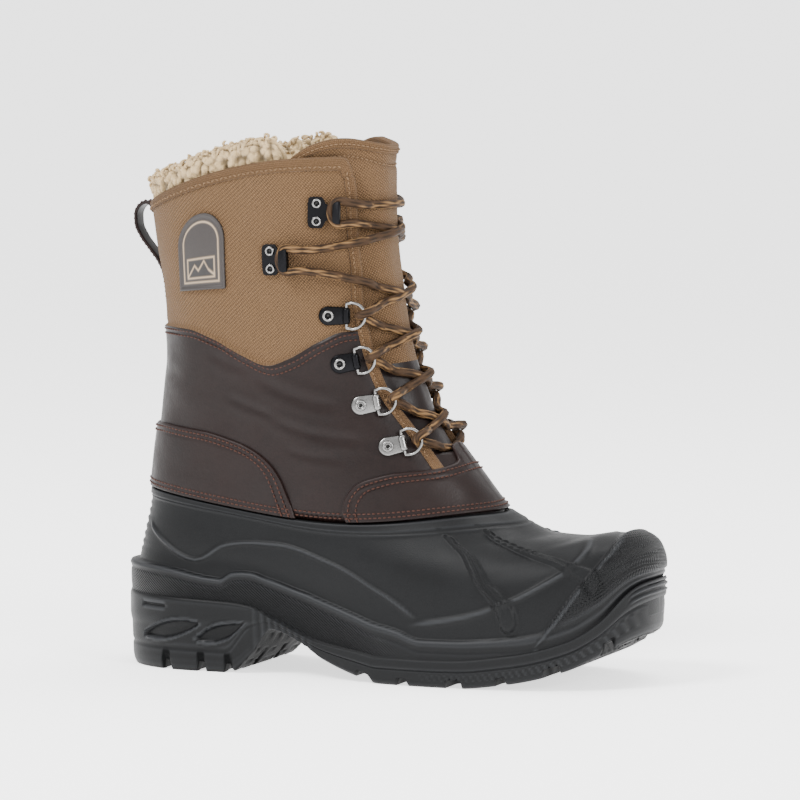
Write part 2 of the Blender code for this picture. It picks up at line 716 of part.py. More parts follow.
def vamp_saddle():
    """Leather overlay over the instep, with the tab that closes the throat."""
    ways = np.array([row[0] for row in SADDLE_TOP])
    top = np.array([row[1] for row in SADDLE_TOP])
    between = (ways[:-1] + ways[1:]) / 2
    wide = np.diff(ways) > 0.04
    ways = np.sort(np.concatenate([ways, between[wide]]))
    top = np.interp(ways, [row[0] for row in SADDLE_TOP], top)
    turns = np.concatenate([side_turn(ways, -1), side_turn(ways[:-1], 1)[::-1]])
    high = np.concatenate([top, top[:-1][::-1]])
    share = np.linspace(0, 1, 5)[:, None]
    levels = OVERLAY_FOOT + (high - OVERLAY_FOOT) * share
    plate("vamp_saddle", levels, np.broadcast_to(turns, levels.shape), OVERLAY_GAP, OVERLAY_THICK, "leather")


def heel_counter():
    """Leather overlay round the back of the heel."""
    ways = np.array([row[0] for row in COUNTER_TOP])
    between = (ways[:-1] + ways[1:]) / 2
    wide = np.diff(ways) > 0.04
    ways = np.sort(np.concatenate([ways, between[wide]]))
    top = column_of(EDGE_COLUMNS, COUNTER_TOP, "level", ways)
    turns = np.concatenate([-ways[::-1] / 2, ways[1:] / 2])
    high = np.concatenate([top[::-1], top[1:]])
    share = np.linspace(0, 1, 4)[:, None]
    levels = OVERLAY_FOOT + (high - OVERLAY_FOOT) * share
    plate("heel_counter", levels, np.broadcast_to(turns, levels.shape), OVERLAY_GAP, OVERLAY_THICK, "leather")


def binding_off(level, way):
    """Distance of the binding's inner face off the surface: over the leather, or lower over the nylon."""
    return OVERLAY_GAP - LEATHER_STEP * smooth_step(0.0, 0.06, level - leather_level(way))


def collar_binding():
    """Rolled edge: one band down both facings and round the collar, sewn over the upper's outer face."""
    tall = BINDING_WIDTH / ABOVE_COLLAR
    climb = np.linspace(THROAT_LEVEL + 0.03, 2.0 - COLLAR_CORNER - 0.012, 14)
    corner_way = float(throat_way(climb[-1]))
    back_ways = np.linspace(corner_way - BINDING_WAY * 1.4, 0, 18)
    edge_level = np.concatenate([climb, (2.0 - COLLAR_CORNER * 0.45,), np.full(len(back_ways), 2.004)])
    edge_way = np.concatenate([throat_way(climb) + 0.004, (corner_way - BINDING_WAY * 0.35,), back_ways])
    inner_level = np.concatenate([np.minimum(climb, 1.945), (1.952,), np.full(len(back_ways), 2.0 - tall)])
    inner_level[len(climb) + 1] = 1.960
    inner_way = np.concatenate([throat_way(climb) - BINDING_WAY, (corner_way - BINDING_WAY * 1.5,), back_ways])
    inner_way[len(climb) + 1] = corner_way - BINDING_WAY * 1.9
    levels = np.stack([edge_level, inner_level])
    ways = np.stack([edge_way, inner_way])
    levels = np.concatenate([levels, levels[:, -2::-1]], axis=1)
    turns = np.concatenate([ways / 2, -ways[:, -2::-1] / 2], axis=1)
    plate("collar_binding", levels, turns, binding_off(levels, way_of(turns)), OVERLAY_THICK, "binding")


def rounded(wave):
    """A sine or cosine made squarer, for a roll's flat sides."""
    return np.sign(wave) * np.abs(wave) ** 0.7


def fleece_collar():
    """Fleece roll inside the collar, from one side of the tongue round the back to the other, with its locks."""
    stations = 40
    around = 10
    turns = np.linspace(-FLEECE_WAY, FLEECE_WAY, stations) / 2
    inset = LEATHER_STEP + UPPER_WALL + TUCK_GAP + FLEECE_THICK / 2
    top = surface(2.0, turns, -inset)
    up = top - surface(1.80, turns, -inset)
    up /= np.linalg.norm(up, axis=-1, keepdims=True)
    inward = surface(2.0, turns, -inset * 2) - top
    inward /= np.linalg.norm(inward, axis=-1, keepdims=True)
    middle = top + up * (FLEECE_RISE - FLEECE_DEPTH) / 2
    half_tall = (FLEECE_RISE + FLEECE_DEPTH) / 2
    angle = 2 * np.pi * (np.arange(around) + 0.5) / around
    inner_side = np.clip(np.cos(angle), 0, 1)
    upper_side = np.clip(np.sin(angle), 0, 1)
    rings = []
    for station in range(stations):
        at_end = station in (0, stations - 1)
        close = 0.72 if at_end else 1.0
        lock = 0.5 + 0.5 * np.sin(3 * angle + station * 2.4) * np.cos(station * 1.3 + 2 * angle)
        swell = FLEECE_LOCK * lock * (not at_end)
        flat = rounded(np.cos(angle)) * FLEECE_THICK / 2 * close + swell * inner_side
        tall = rounded(np.sin(angle)) * half_tall * close + swell * upper_side
        above = smooth_step(FLEECE_RISE * 0.30, FLEECE_RISE, tall - half_tall + FLEECE_RISE)
        flat = flat - FLEECE_LEAN * above * (flat < 0) * close
        rings.append(middle[station] + flat[:, None] * inward[station] + tall[:, None] * up[station])
    stacked("fleece_collar", rings, "fleece")


def pull_loop():
    """Leather loop at the back with the strip that runs on down the back line."""
    rows = np.array(LOOP_PATH)
    keys = np.arange(len(rows))
    fine = np.linspace(0, keys[-1], 21)
    levels = monotone(keys, rows[:, 0], fine)
    line = surface(levels, np.zeros_like(levels), monotone(keys, rows[:, 1], fine))
    along = np.gradient(line, axis=0)
    normal = np.stack([-along[:, 2], np.zeros(len(line)), along[:, 0]], axis=-1)
    normal /= np.linalg.norm(normal, axis=-1, keepdims=True)
    across = (-LOOP_HALF, LOOP_HALF)
    inner = np.stack([line + (0, step, 0) for step in across], axis=1)
    outer = np.stack([line + normal * LOOP_THICK + (0, step, 0) for step in across], axis=1)
    walled("pull_loop", outer, inner, "leather")


def way_at_x(level, x):
    """Way of the point of a ring at x."""
    back = monotone(SECTIONS[:, 0], SECTIONS[:, 1], level)
    front = monotone(SECTIONS[:, 0], SECTIONS[:, 2], level)
    return np.arccos(np.clip(1 - 2 * (x - back) / (front - back), -1, 1)) / np.pi


def badge():
    """Bare arched patch sewn on the outer side of the shaft."""
    low, high = BADGE_LEVELS
    straight = 0.62
    arch = np.radians((30, 58, 80))
    rise = np.concatenate([np.linspace(0, straight, 3), straight + (1 - straight) * np.sin(arch)])
    half = np.concatenate([np.ones(3), np.cos(arch)])
    levels = np.broadcast_to((low + (high - low) * rise)[:, None], (len(rise), 5))
    middle = along_sole(0) + SHAFT_BACK + BADGE_SHARE * SHAFT_DEPTH
    x = middle + np.linspace(-1, 1, 5)[None, :] * half[:, None] * BADGE_HALF
    plate("badge", levels, way_at_x(levels, x) / 2, OVERLAY_GAP - LEATHER_STEP, BADGE_THICK, "leather")


def frame_at(level, way, side, towards_level, towards_way):
    """Place on the surface with three directions: towards another place, square to that along it, and outwards."""
    turn = side_turn(way, side)
    place = surface(level, turn, 0.0)
    out = surface(level, turn, 0.01) - place
    out /= np.linalg.norm(out)
    ahead = surface(towards_level, side_turn(towards_way, side), 0.0) - place
    reach = np.linalg.norm(ahead)
    ahead -= out * (ahead @ out)
    ahead /= np.linalg.norm(ahead)
    return place, ahead, np.cross(out, ahead), out, reach


def local(frame, ahead, across, out):
    """Points given along a place's own three directions."""
    place, first, second, third = frame[:4]
    parts = [np.asarray(item, float)[..., None] for item in np.broadcast_arrays(ahead, across, out)]
    return place + parts[0] * first + parts[1] * second + parts[2] * third


def hardware_foot(level, way):
    """Distance off the surface at which hardware sits: over the leather, or lower over the nylon."""
    return OVERLAY_GAP - LEATHER_STEP * (level > float(leather_level(way)))


def clip(number, side, name):
    """Clip of a D-ring: round-ended plate with its rivet's head."""
    frame = frame_at(CLIPS[number][0], CLIPS[number][1], side, CLIPS[number][2], CLIPS[number][3])
    length = frame[4] - RING_DEPTH / 2 - RING_WIRE - GAP * 2
    angle = np.radians(np.linspace(90, 270, 7))
    ahead = np.concatenate([CLIP_HALF * np.cos(angle), (length, length, length)])
    across = np.concatenate([CLIP_HALF * np.sin(angle), np.array((-0.80, 0.0, 0.80)) * CLIP_HALF])
    round_angle = np.arctan2(across, ahead)
    foot = hardware_foot(*CLIPS[number][:2])
    rings = [local(frame, ahead, across, foot), local(frame, ahead, across, foot + CLIP_THICK)]
    for radius, rise in ((1.0, 0.0), (0.9, RIVET_RISE)):
        rings.append(local(frame, RIVET_RADIUS * radius * np.cos(round_angle),
                           RIVET_RADIUS * radius * np.sin(round_angle), foot + CLIP_THICK + rise))
    stacked("clip_%s" % name, rings, "nickel" if number < 2 else "gunmetal")


def ring(number, side, name):
    """D-shaped wire ring held at the end of its clip."""
    level, way, ring_level, ring_way = CLIPS[number]
    frame = frame_at(ring_level, ring_way, side, level, way)
    half = RING_DEPTH / 2
    angle = np.radians(np.linspace(-80, 80, 6))
    ahead = np.concatenate([-half + RING_DEPTH * 0.62 * (1 - np.cos(angle)), (half, half)])
    across = np.concatenate([RING_HALF * np.sin(angle), np.array((0.92, -0.92)) * RING_HALF])
    lowest = ring_level - RING_HALF / ABOVE_COLLAR
    lift = float(binding_off(lowest, ring_way)) + OVERLAY_THICK + GAP + RING_WIRE
    middle = local(frame, ahead, across, lift)
    count = len(middle)
    out = frame[3]
    rows = []
    for index in range(count):
        run = middle[(index + 1) % count] - middle[index - 1]
        side_way = np.cross(run / np.linalg.norm(run), out)
        turn = np.pi * (np.arange(4) / 2 + 0.25)
        rows.append(middle[index] + RING_WIRE * (np.cos(turn)[:, None] * side_way + np.sin(turn)[:, None] * out))
    tube("ring_%s" % name, np.array(rows), "nickel" if number < 2 else "gunmetal", True)


def tube(name, rows, finish, closed):
    """Tube through rings of points, closed into a loop or capped at both ends."""
    stations, around = rows.shape[:2]
    faces = []
    for station in range(stations if closed else stations - 1):
        for corner in range(around):
            after = (corner + 1) % around
            first = station * around
            second = (station + 1) % stations * around
            faces.append((first + corner, first + after, second + after, second + corner))
    if not closed:
        faces.append(tuple(range(around)))
        faces.append(tuple(range((stations - 1) * around, stations * around))[::-1])
    return solid_object(name, rows.reshape(-1, 3), faces, finish)


def hook(number, side, name):
    """Lace hook: base plate with two rivets, and an arm that rises and turns back over the lace."""
    frame = frame_at(HOOKS[number][0], HOOKS[number][1], side, HOOKS[number][2], HOOKS[number][3])
    reach = frame[4]
    profile = (
        (-0.0050, 0.0, 0.62), (-0.0030, 0.0, 1.0), (0.0022, 0.0, 1.0), (0.0040, 0.0, 0.66),
        (reach - 0.0030, 0.0004, 0.55), (reach, 0.0028, 0.62), (reach + 0.0010, 0.0060, 0.70),
        (reach - 0.0006, 0.0082, 0.70), (reach - 0.0034, 0.0084, 0.66),
    )
    rows = np.array(profile)
    foot = hardware_foot(*HOOKS[number][:2])
    run = np.gradient(rows[:, :2], axis=0)
    normal = np.stack([-run[:, 1], run[:, 0]], axis=-1)
    normal /= np.linalg.norm(normal, axis=-1, keepdims=True)
    across = np.array((-1.0, 0.0, 1.0)) * HOOK_HALF
    spread = across[None, :] * rows[:, 2:3]
    low = local(frame, np.broadcast_to(rows[:, :1], spread.shape), spread, rows[:, 1:2] + foot)
    top_line = rows[:, :2] + normal * HOOK_THICK
    high = local(frame, np.broadcast_to(top_line[:, :1], spread.shape), spread, top_line[:, 1:2] + foot)
    walled("hook_%s" % name, high, low, "gunmetal")


def lace_off(way, level):
    """The lace's middle line off the surface: over the facings' edges, and down on the tongue between them."""
    across = np.clip((1 - way) / (1 - TONGUE_WAY), 0, 1)
    tongue_face = tongue_off(level, across)
    over_facing = OVERLAY_GAP + OVERLAY_THICK
    between = smooth_step(0.01, 0.07, way - throat_way(level)) * smooth_step(TAB_TOP, TAB_TOP + 0.02, level)
    return over_facing + (tongue_face - over_facing) * between + LACE_RADIUS + LACE_GAP


def strand(start, end):
    """Points of one run of lace across the throat, between two places given by level, way and side."""
    turns = [float(side_turn(way, side)) for level, way, side in (start, end)]
    share = np.linspace(0, 1, 61)
    levels = start[0] + (end[0] - start[0]) * share
    run = turns[0] + (turns[1] - turns[0]) * share
    line = surface(levels, run, lace_off(way_of(run), levels))
    clear = [np.linalg.norm(line - line[place], axis=-1) for place in (0, -1)]
    line = line[(clear[0] > LACE_STOP) & (clear[1] > LACE_STOP)]
    length = np.linalg.norm(np.diff(line, axis=0), axis=-1).sum()
    count = int(round(length / LACE_CHORD)) + 1
    picks = np.round(np.linspace(0, len(line) - 1, count)).astype(int)
    return line[picks]


def round_rows(line, radius, around=5):
    """Rings of points round a line."""
    run = np.gradient(line, axis=0)
    run /= np.linalg.norm(run, axis=-1, keepdims=True)
    side_way = np.cross(run, (0.0, 0.0, 1.0))
    side_way /= np.linalg.norm(side_way, axis=-1, keepdims=True)
    up = np.cross(side_way, run)
    turn = (2 * np.pi * np.arange(around) / around)[None, :, None]
    return line[:, None] + radius * (np.cos(turn) * side_way[:, None] + np.sin(turn) * up[:, None])


def lace():
    """Lace across the throat: a straight bar at the bottom and the top, and a crossing between each two rings."""
    places = [(row[2], row[3]) for row in CLIPS + HOOKS]
    for word, (level, way), rise in (("low", places[0], -LACE_STEP), ("top", places[-1], LACE_STEP)):
        line = strand((level + rise, way, -1), (level + rise, way, 1))
        tube("lace_bar_%s" % word, round_rows(line, LACE_RADIUS), "lace_cord", False)
    for number, (low, high) in enumerate(zip(places[:-1], places[1:]), 1):
        crossing = []
        for side, word in ((-1, "lace_cross_%d"), (1, "lace_cutter_%d")):
            line = strand((low[0] + LACE_STEP, low[1], side), (high[0] - LACE_STEP, high[1], -side))
            crossing.append(tube(word % number, round_rows(line, LACE_RADIUS), "lace_cord", False))
        join(*crossing)


def join(item, other):
    """Fuse another shape into one for good."""
    change = item.modifiers.new("join", "BOOLEAN")
    change.operation = "UNION"
    change.object = other
    other.hide_render = True
    other.display_type = "WIRE"


def rib(galosh_item, rows, side, name):
    """Raised rib over the side of the toe, fused into the galosh."""
    table = np.array(rows)
    keys = np.arange(len(table))
    fine = np.linspace(0, keys[-1], 7)
    levels, ways, half = (monotone(keys, table[:, index], fine) for index in range(3))
    turns = side_turn(ways, side)
    line = surface(levels, turns, 0.0)
    out = surface(levels, turns, 0.01) - line
    out /= np.linalg.norm(out, axis=-1, keepdims=True)
    run = np.gradient(line, axis=0)
    across = np.cross(run, out)
    across /= np.linalg.norm(across, axis=-1, keepdims=True)
    steps = np.array((-1.0, -0.45, 0.45, 1.0))
    rise = np.array((-0.0003, 1.0, 1.0, -0.0003))
    outer = line[:, None] + across[:, None] * (steps[None, :, None] * half[:, None, None])
    inner = outer - out[:, None] * SHELL_WALL * 0.5
    outer = outer + out[:, None] * (np.where(rise > 0, RIB_PROUD, rise)[None, :, None])
    join(galosh_item, walled(name, outer, inner, "rubber"))


def stand_on_origin():
    """Move everything so that the middle of the boot's box is over the origin; the soles already stand on z = 0."""
    bpy.context.view_layer.update()
    shown = [item for item in bpy.data.objects if not item.hide_render]
    corners = np.array([item.matrix_world @ vertex.co for item in shown for vertex in item.data.vertices])
    middle = (corners.min(axis=0) + corners.max(axis=0)) / 2
    for item in bpy.data.objects:
        item.location.x -= middle[0]
        item.location.y -= middle[1]


def build():
    """Make every piece of the boot and stand it on the origin."""
    clear_scene()
    outsole()
    galosh()
    insole()
    upper()
    tongue()
    vamp_saddle()
    heel_counter()
    collar_binding()
    fleece_collar()
    pull_loop()
    badge()
    for side, word in ((-1, "outer"), (1, "inner")):
        for number in range(len(CLIPS)):
            clip(number, side, "%s_%d" % (word, number + 1))
            ring(number, side, "%s_%d" % (word, number + 1))
        for number in range(len(HOOKS)):
            hook(number, side, "%s_%d" % (word, number + 1))
    lace()
    stand_on_origin()


build()
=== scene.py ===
"""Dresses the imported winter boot: rubber, leather, nylon, fleece, lace and metal over the CAD frame.

Laid out as an add-on. Each operator builds one group of pieces, and main() calls them in order.
Every curved piece is worked out from the same surface as the CAD: a level up the boot (0 where the galosh
meets the outsole, 1 at its rim, 2 at the collar), a turn round it (0 at the back line, 0.5 at the front line
by way of the outer side) and a distance off it. Metres, +Z up, toe along +X, outer side towards -Y.
"""

import bmesh
import bpy
import numpy as np
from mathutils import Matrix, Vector


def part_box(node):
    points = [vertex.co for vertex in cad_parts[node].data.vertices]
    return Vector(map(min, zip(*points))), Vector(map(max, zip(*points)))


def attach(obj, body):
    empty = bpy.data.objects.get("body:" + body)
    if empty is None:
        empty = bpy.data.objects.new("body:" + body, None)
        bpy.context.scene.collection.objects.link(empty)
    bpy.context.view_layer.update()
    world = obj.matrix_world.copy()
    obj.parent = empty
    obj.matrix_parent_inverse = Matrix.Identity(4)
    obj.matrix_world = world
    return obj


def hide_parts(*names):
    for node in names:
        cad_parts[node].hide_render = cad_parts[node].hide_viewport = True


bl_info = {
    "name": "Winter boot dresser",
    "version": (1, 0, 0),
    "blender": (4, 5, 0),
    "location": "3D View > Sidebar > Boot",
    "description": "Builds the visible pieces of a fleece-lined winter boot over its packed model",
    "category": "Add Mesh",
}

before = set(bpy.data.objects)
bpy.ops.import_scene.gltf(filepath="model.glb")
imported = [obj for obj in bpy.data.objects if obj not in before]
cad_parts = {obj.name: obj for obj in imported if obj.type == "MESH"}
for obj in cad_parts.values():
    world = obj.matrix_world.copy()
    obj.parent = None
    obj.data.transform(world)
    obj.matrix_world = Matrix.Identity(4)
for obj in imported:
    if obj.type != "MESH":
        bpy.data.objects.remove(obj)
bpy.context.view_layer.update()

# Driving sizes, the same as the CAD's
SOLE_LENGTH = 0.315
BALL_WIDTH = 0.108
HEEL_WIDTH = 0.080
INSTEP_WIDTH = 0.084
SHAFT_WIDTH = 0.093
SHAFT_DEPTH = 0.142
SHAFT_BACK = 0.013
RIM_HEIGHT = 0.100
TOE_HEIGHT = 0.082
BACK_HEIGHT = 0.258
FRONT_HEIGHT = 0.286
TONGUE_HEIGHT = 0.297
HEEL_LIFT = 0.041
ARCH_HOLLOW = 0.026
TOE_SPRING = 0.030
TOE_SWING = 0.011
RIM_SAG = 0.0095
COLLAR_ARCH = 0.0085
SEAT_GAP = 0.0009
SHELL_WALL = 0.0030
UPPER_WALL = 0.0020
TUCK_GAP = 0.0010
LEATHER_STEP = 0.0010
RIM_STEP = 0.0010
TOE_STEP = 0.0019
OVERLAY_GAP = 0.0002
OVERLAY_THICK = 0.0016
TONGUE_THICK = 0.0035
TONGUE_SWELL = 0.0050
TONGUE_PUFF = 0.0026
TONGUE_WAY = 0.640
THROAT_LEVEL = 1.200
COLLAR_CORNER = 0.045       # levels that the collar's edge falls where it turns into a facing
COLLAR_BEND = 0.040         # ways that this turn takes up
FLEECE_THICK = 0.0110
FLEECE_DEPTH = 0.0360
FLEECE_RISE = 0.0125
FLEECE_LEAN = 0.0042
FLEECE_WAY = 0.625
INSOLE_INSET = 0.0063       # the insole's edge inside the galosh's base outline
ABOVE_COLLAR = BACK_HEIGHT - RIM_HEIGHT
TURN_STEP = 0.006
LEVEL_STEP = 0.02

# Galosh sections. Columns: level, back_x, front_x (shares of the sole's length), front_z (of the toe height),
# heel_half, ball_half (of the heel's and the ball's width), front_round, back_round (of the ring's length).
GALOSH_SECTIONS = (
    (0.00, 0.0240, 0.982, 0.690, 0.485, 0.480, 0.23, 0.17),
    (0.15, 0.0220, 0.985, 0.800, 0.490, 0.482, 0.24, 0.18),
    (0.30, 0.0220, 0.976, 0.920, 0.485, 0.478, 0.26, 0.19),
    (0.42, 0.0260, 0.950, 0.990, 0.475, 0.470, 0.29, 0.20),
    (0.54, 0.0310, 0.905, 1.000, 0.465, 0.460, 0.33, 0.21),
    (0.68, 0.0370, 0.850, 0.970, 0.452, 0.445, 0.37, 0.22),
    (0.80, 0.0420, 0.800, 0.975, 0.440, 0.425, 0.40, 0.23),
    (0.90, 0.0450, 0.760, 1.030, 0.432, 0.405, 0.42, 0.24),
    (1.00, 0.0470, 0.713, 1.125, 0.425, 0.390, 0.44, 0.25),
)

# Shaft sections. Columns: rise from rim to collar, back and front (of the shaft's depth), front height (of
# the way from the rim to the collar's front), back and front half widths (of the width), front_round,
# back_round.
SHAFT_SECTIONS = (
    (0.12, 0.028, 1.385, 0.092, 0.410, 0.491, 0.45, 0.27),
    (0.22, 0.044, 1.288, 0.184, 0.410, 0.479, 0.45, 0.29),
    (0.36, 0.068, 1.170, 0.310, 0.433, 0.467, 0.46, 0.32),
    (0.50, 0.084, 1.095, 0.450, 0.465, 0.475, 0.46, 0.35),
    (0.70, 0.070, 1.042, 0.645, 0.493, 0.493, 0.46, 0.38),
    (0.85, 0.042, 1.007, 0.815, 0.504, 0.506, 0.46, 0.40),
    (1.00, 0.018, 1.000, 1.000, 0.500, 0.500, 0.46, 0.42),
)

# Side view of the outsole. Columns: along (share of the sole's length), top (of the heel lift), arch (of the
# arch hollow), spring (of the toe spring), bed (of the heel lift).
SOLE_SIDE = np.array((
    (0.000, 1.00, 0.16, 0.00, 1.06),
    (0.025, 1.00, 0.00, 0.00, 1.06),
    (0.240, 0.95, 0.00, 0.00, 1.06),
    (0.285, 0.91, 0.42, 0.00, 1.03),
    (0.325, 0.78, 0.98, 0.00, 0.98),
    (0.385, 0.58, 0.72, 0.00, 0.86),
    (0.425, 0.48, 0.42, 0.00, 0.76),
    (0.495, 0.40, 0.12, 0.00, 0.64),
    (0.540, 0.35, 0.00, 0.00, 0.60),
    (0.680, 0.35, 0.00, 0.00, 0.58),
    (0.780, 0.42, 0.00, 0.12, 0.62),
    (0.870, 0.60, 0.00, 0.36, 0.68),
    (0.920, 0.82, 0.00, 0.62, 0.76),
    (0.970, 1.27, 0.00, 0.92, 0.90),
    (1.000, 1.44, 0.00, 1.02, 0.98),
))

# Heel band, side guard and front lip. Columns: along, level of the line, how far the rubber below it
# stands proud.
BAND_LINE = np.array((
    (0.000, 0.300, 0.0050),
    (0.120, 0.280, 0.0046),
    (0.200, 0.235, 0.0034),
    (0.225, 0.230, 0.0028),
    (0.250, 0.310, 0.0026),
    (0.290, 0.345, 0.0025),
    (0.383, 0.360, 0.0024),
    (0.516, 0.255, 0.0023),
    (0.572, 0.210, 0.0022),
    (0.620, 0.150, 0.0020),
    (0.700, 0.150, 0.0018),
    (0.850, 0.120, 0.0014),
    (0.950, 0.100, 0.0008),
    (1.000, 0.100, 0.0004),
))

# Rear edge of the toe cap. Columns: level, along.
TOE_CAP_EDGE = np.array((
    (0.060, 0.815),
    (0.120, 0.835),
    (0.200, 0.872),
    (0.280, 0.910),
    (0.400, 0.934),
    (0.540, 0.925),
    (0.700, 0.910),
))

# Line where leather ends and nylon begins. Columns: way, level.
LEATHER_LINE = np.array((
    (0.00, 1.580),
    (0.15, 1.580),
    (0.29, 1.573),
    (0.38, 1.540),
    (0.45, 1.495),
    (0.52, 1.465),
    (0.58, 1.485),
    (0.67, 1.535),
    (0.75, 1.565),
    (1.00, 1.575),
))

# Edges of the facings. Columns: level, way.
THROAT_EDGE = np.array((
    (1.00, 0.870),
    (1.20, 0.862),
    (1.30, 0.850),
    (1.40, 0.826),
    (1.55, 0.818),
    (1.65, 0.818),
    (1.75, 0.836),
    (1.90, 0.844),
    (2.00, 0.830),
))

# Top edges of the two leather overlays. Columns: way, level.
SADDLE_TOP = np.array((
    (0.586, 1.030),
    (0.596, 1.070),
    (0.612, 1.100),
    (0.638, 1.128),
    (0.668, 1.142),
    (0.732, 1.155),
    (0.828, 1.158),
    (0.900, 1.166),
    (0.945, 1.180),
    (0.965, 1.220),
    (1.000, 1.226),
))
COUNTER_TOP = np.array((
    (0.000, 1.232),
    (0.080, 1.232),
    (0.180, 1.240),
    (0.312, 1.240),
    (0.402, 1.222),
    (0.440, 1.202),
    (0.468, 1.170),
    (0.482, 1.130),
    (0.492, 1.040),
))
OVERLAY_FOOT = 1.006

# Raised lines on the galosh's sides. Columns: level, way.
SIDE_RIDGE = ((0.690, 0.112), (0.540, 0.180), (0.390, 0.258), (0.580, 0.320), (0.665, 0.378), (0.725, 0.440),
              (0.655, 0.500), (0.490, 0.540), (0.250, 0.576))
FRONT_RIDGE = ((0.245, 0.556), (0.295, 0.674), (0.340, 0.746), (0.365, 0.788), (0.420, 0.830), (0.570, 0.932))
SHORT_RIB = ((0.895, 0.738), (0.750, 0.727), (0.595, 0.703), (0.450, 0.685), (0.340, 0.686), (0.220, 0.693))
LONG_RIB = ((0.905, 0.826), (0.800, 0.818), (0.665, 0.808), (0.545, 0.800), (0.405, 0.800), (0.230, 0.822))

# Lace hardware of one side. Columns: level and way of the rivet, level and way of the ring or head.
CLIPS = (
    (1.230, 0.748, 1.240, 0.822),
    (1.355, 0.730, 1.365, 0.810),
    (1.470, 0.708, 1.482, 0.790),
    (1.610, 0.702, 1.610, 0.788),
)
HOOKS = (
    (1.760, 0.568, 1.760, 0.620),
    (1.875, 0.714, 1.875, 0.782),
)
CLIP_HALF = 0.0052
CLIP_THICK = 0.0013
RIVET_RADIUS = 0.0032
RING_WIRE = 0.00080
RING_HALF = 0.0072
RING_DEPTH = 0.0105
RING_TILT = 13.0            # degrees
RING_FOOT = 0.0017          # the ring's straight bar over the shell
BRIGHT_CLIPS = 2            # the lowest clips are bright, the others dark
BARREL_RADIUS = 0.0021
BARREL_FOOT = 0.0016
RIVET_RISE = 0.0012
HOOK_HALF = 0.0085
HOOK_THICK = 0.0012
HOOK_NECK = 0.0042          # the lace's line over the shell behind a hook
HOOK_RIVET = 0.0027         # radius of a hook's rivets, their distance from its middle, and their rise
HOOK_RIVET_APART = 0.0049
HOOK_RIVET_RISE = 0.0011
DOME_POINTS = 24
LACE_SPACING = 0.00065      # distance between the lace's rings of points
LACE_AROUND = 18
YARN_PITCH = 0.020          # length in which a yarn of the lace turns once

BADGE_SHARE = 0.345
BADGE_HALF = 0.0148
BADGE_LEVELS = (1.690, 1.900)

# Pull loop. Columns: level, distance off the surface.
LOOP_PATH = np.array((
    (1.615, -0.0004),
    (1.690, -0.0003),
    (1.760, 0.0000),
    (1.805, 0.0018),
    (1.850, 0.0056),
    (1.900, 0.0102),
    (1.942, 0.0124),
    (1.975, 0.0120),
    (1.999, 0.0096),
    (2.008, 0.0064),
    (1.998, 0.0036),
    (1.975, 0.0026),
))
LOOP_HALF = 0.0050

# Cross grooves of the tread. Columns: along, width, depth as a share of the lugs.
TREAD_GROOVES = (
    (0.105, 0.0045, 1.0),
    (0.172, 0.0040, 1.0),
    (0.224, 0.0040, 0.9),
    (0.515, 0.0080, 0.6),
    (0.590, 0.0050, 0.7),
    (0.685, 0.0080, 1.0),
    (0.770, 0.0050, 0.7),
    (0.855, 0.0080, 1.0),
    (0.940, 0.0050, 0.9),
)


def length_property(label, text, value):
    """Length setting with a plain label."""
    return bpy.props.FloatProperty(name=label, description=text, default=value, unit="LENGTH")


class BootSizes(bpy.types.PropertyGroup):
    """Sizes of the details that the frame leaves open."""

    stitch_length: length_property("Stitch length", "Length of one stitch", 0.0020)
    stitch_pitch: length_property("Stitch pitch", "Distance from stitch to stitch", 0.0027)
    thread_radius: length_property("Thread radius", "Radius of the sewing thread", 0.00045)
    row_gap: length_property("Row gap", "Distance between the two rows of a double seam", 0.0026)
    seam_inset: length_property("Seam inset", "Distance of the first row from its edge", 0.0021)
    lace_radius: length_property("Lace radius", "Radius of the round lace", 0.0024)
    curl_size: length_property("Curl size", "Width of one curl of the fleece", 0.0033)
    weave_pitch: length_property("Weave pitch", "Distance between the nylon's yarns", 0.0027)
    lug_depth: length_property("Lug depth", "Depth of the tread", 0.0055)
    ridge_height: length_property("Ridge height", "Height of the moulded lines on the galosh", 0.0013)
    rib_height: length_property("Rib height", "Height of the toe's ribs", 0.0030)
    crease_depth: length_property("Crease depth", "Depth of the leather's creases", 0.0005)


def colour_property(label, text, value):
    """Colour setting with a plain label."""
    return bpy.props.FloatVectorProperty(name=label, description=text, default=value, subtype="COLOR",
                                         size=3, min=0.0, max=1.0)


class BootColours(bpy.types.PropertyGroup):
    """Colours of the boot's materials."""

    rubber: colour_property("Rubber", "Galosh and sole", (0.0042, 0.0044, 0.0048))
    leather: colour_property("Leather", "Smooth brown leather", (0.0058, 0.0028, 0.0024))
    nylon: colour_property("Nylon", "Woven nylon", (0.135, 0.077, 0.037))
    # nylon_dark is painted shade in the gaps between the yarns
    nylon_dark: colour_property("Nylon gaps", "Between the yarns", (0.014, 0.008, 0.004))
    binding: colour_property("Binding", "Tape round the collar", (0.125, 0.070, 0.033))
    fleece: colour_property("Fleece", "Curly lining", (0.460, 0.330, 0.172))
    lace: colour_property("Lace", "Braided cord", (0.031, 0.0165, 0.0080))
    fleck: colour_property("Lace fleck", "Light yarns of the lace", (0.175, 0.098, 0.040))
    thread: colour_property("Thread", "Stitches on leather", (0.036, 0.013, 0.008))
    tan_thread: colour_property("Tan thread", "Stitches on nylon", (0.120, 0.071, 0.036))
    badge: colour_property("Badge", "Sewn patch", (0.0125, 0.0082, 0.0068))
    cream: colour_property("Cream", "Lines on the patch", (0.300, 0.220, 0.140))
    gunmetal: colour_property("Gunmetal", "Dark plated metal", (0.010, 0.010, 0.011))
    nickel: colour_property("Nickel", "Bright plated metal", (0.210, 0.206, 0.202))
    felt: colour_property("Felt", "Insole and lining", (0.480, 0.400, 0.290))
    floor: colour_property("Floor", "Plain pale floor", (0.940, 0.940, 0.940))


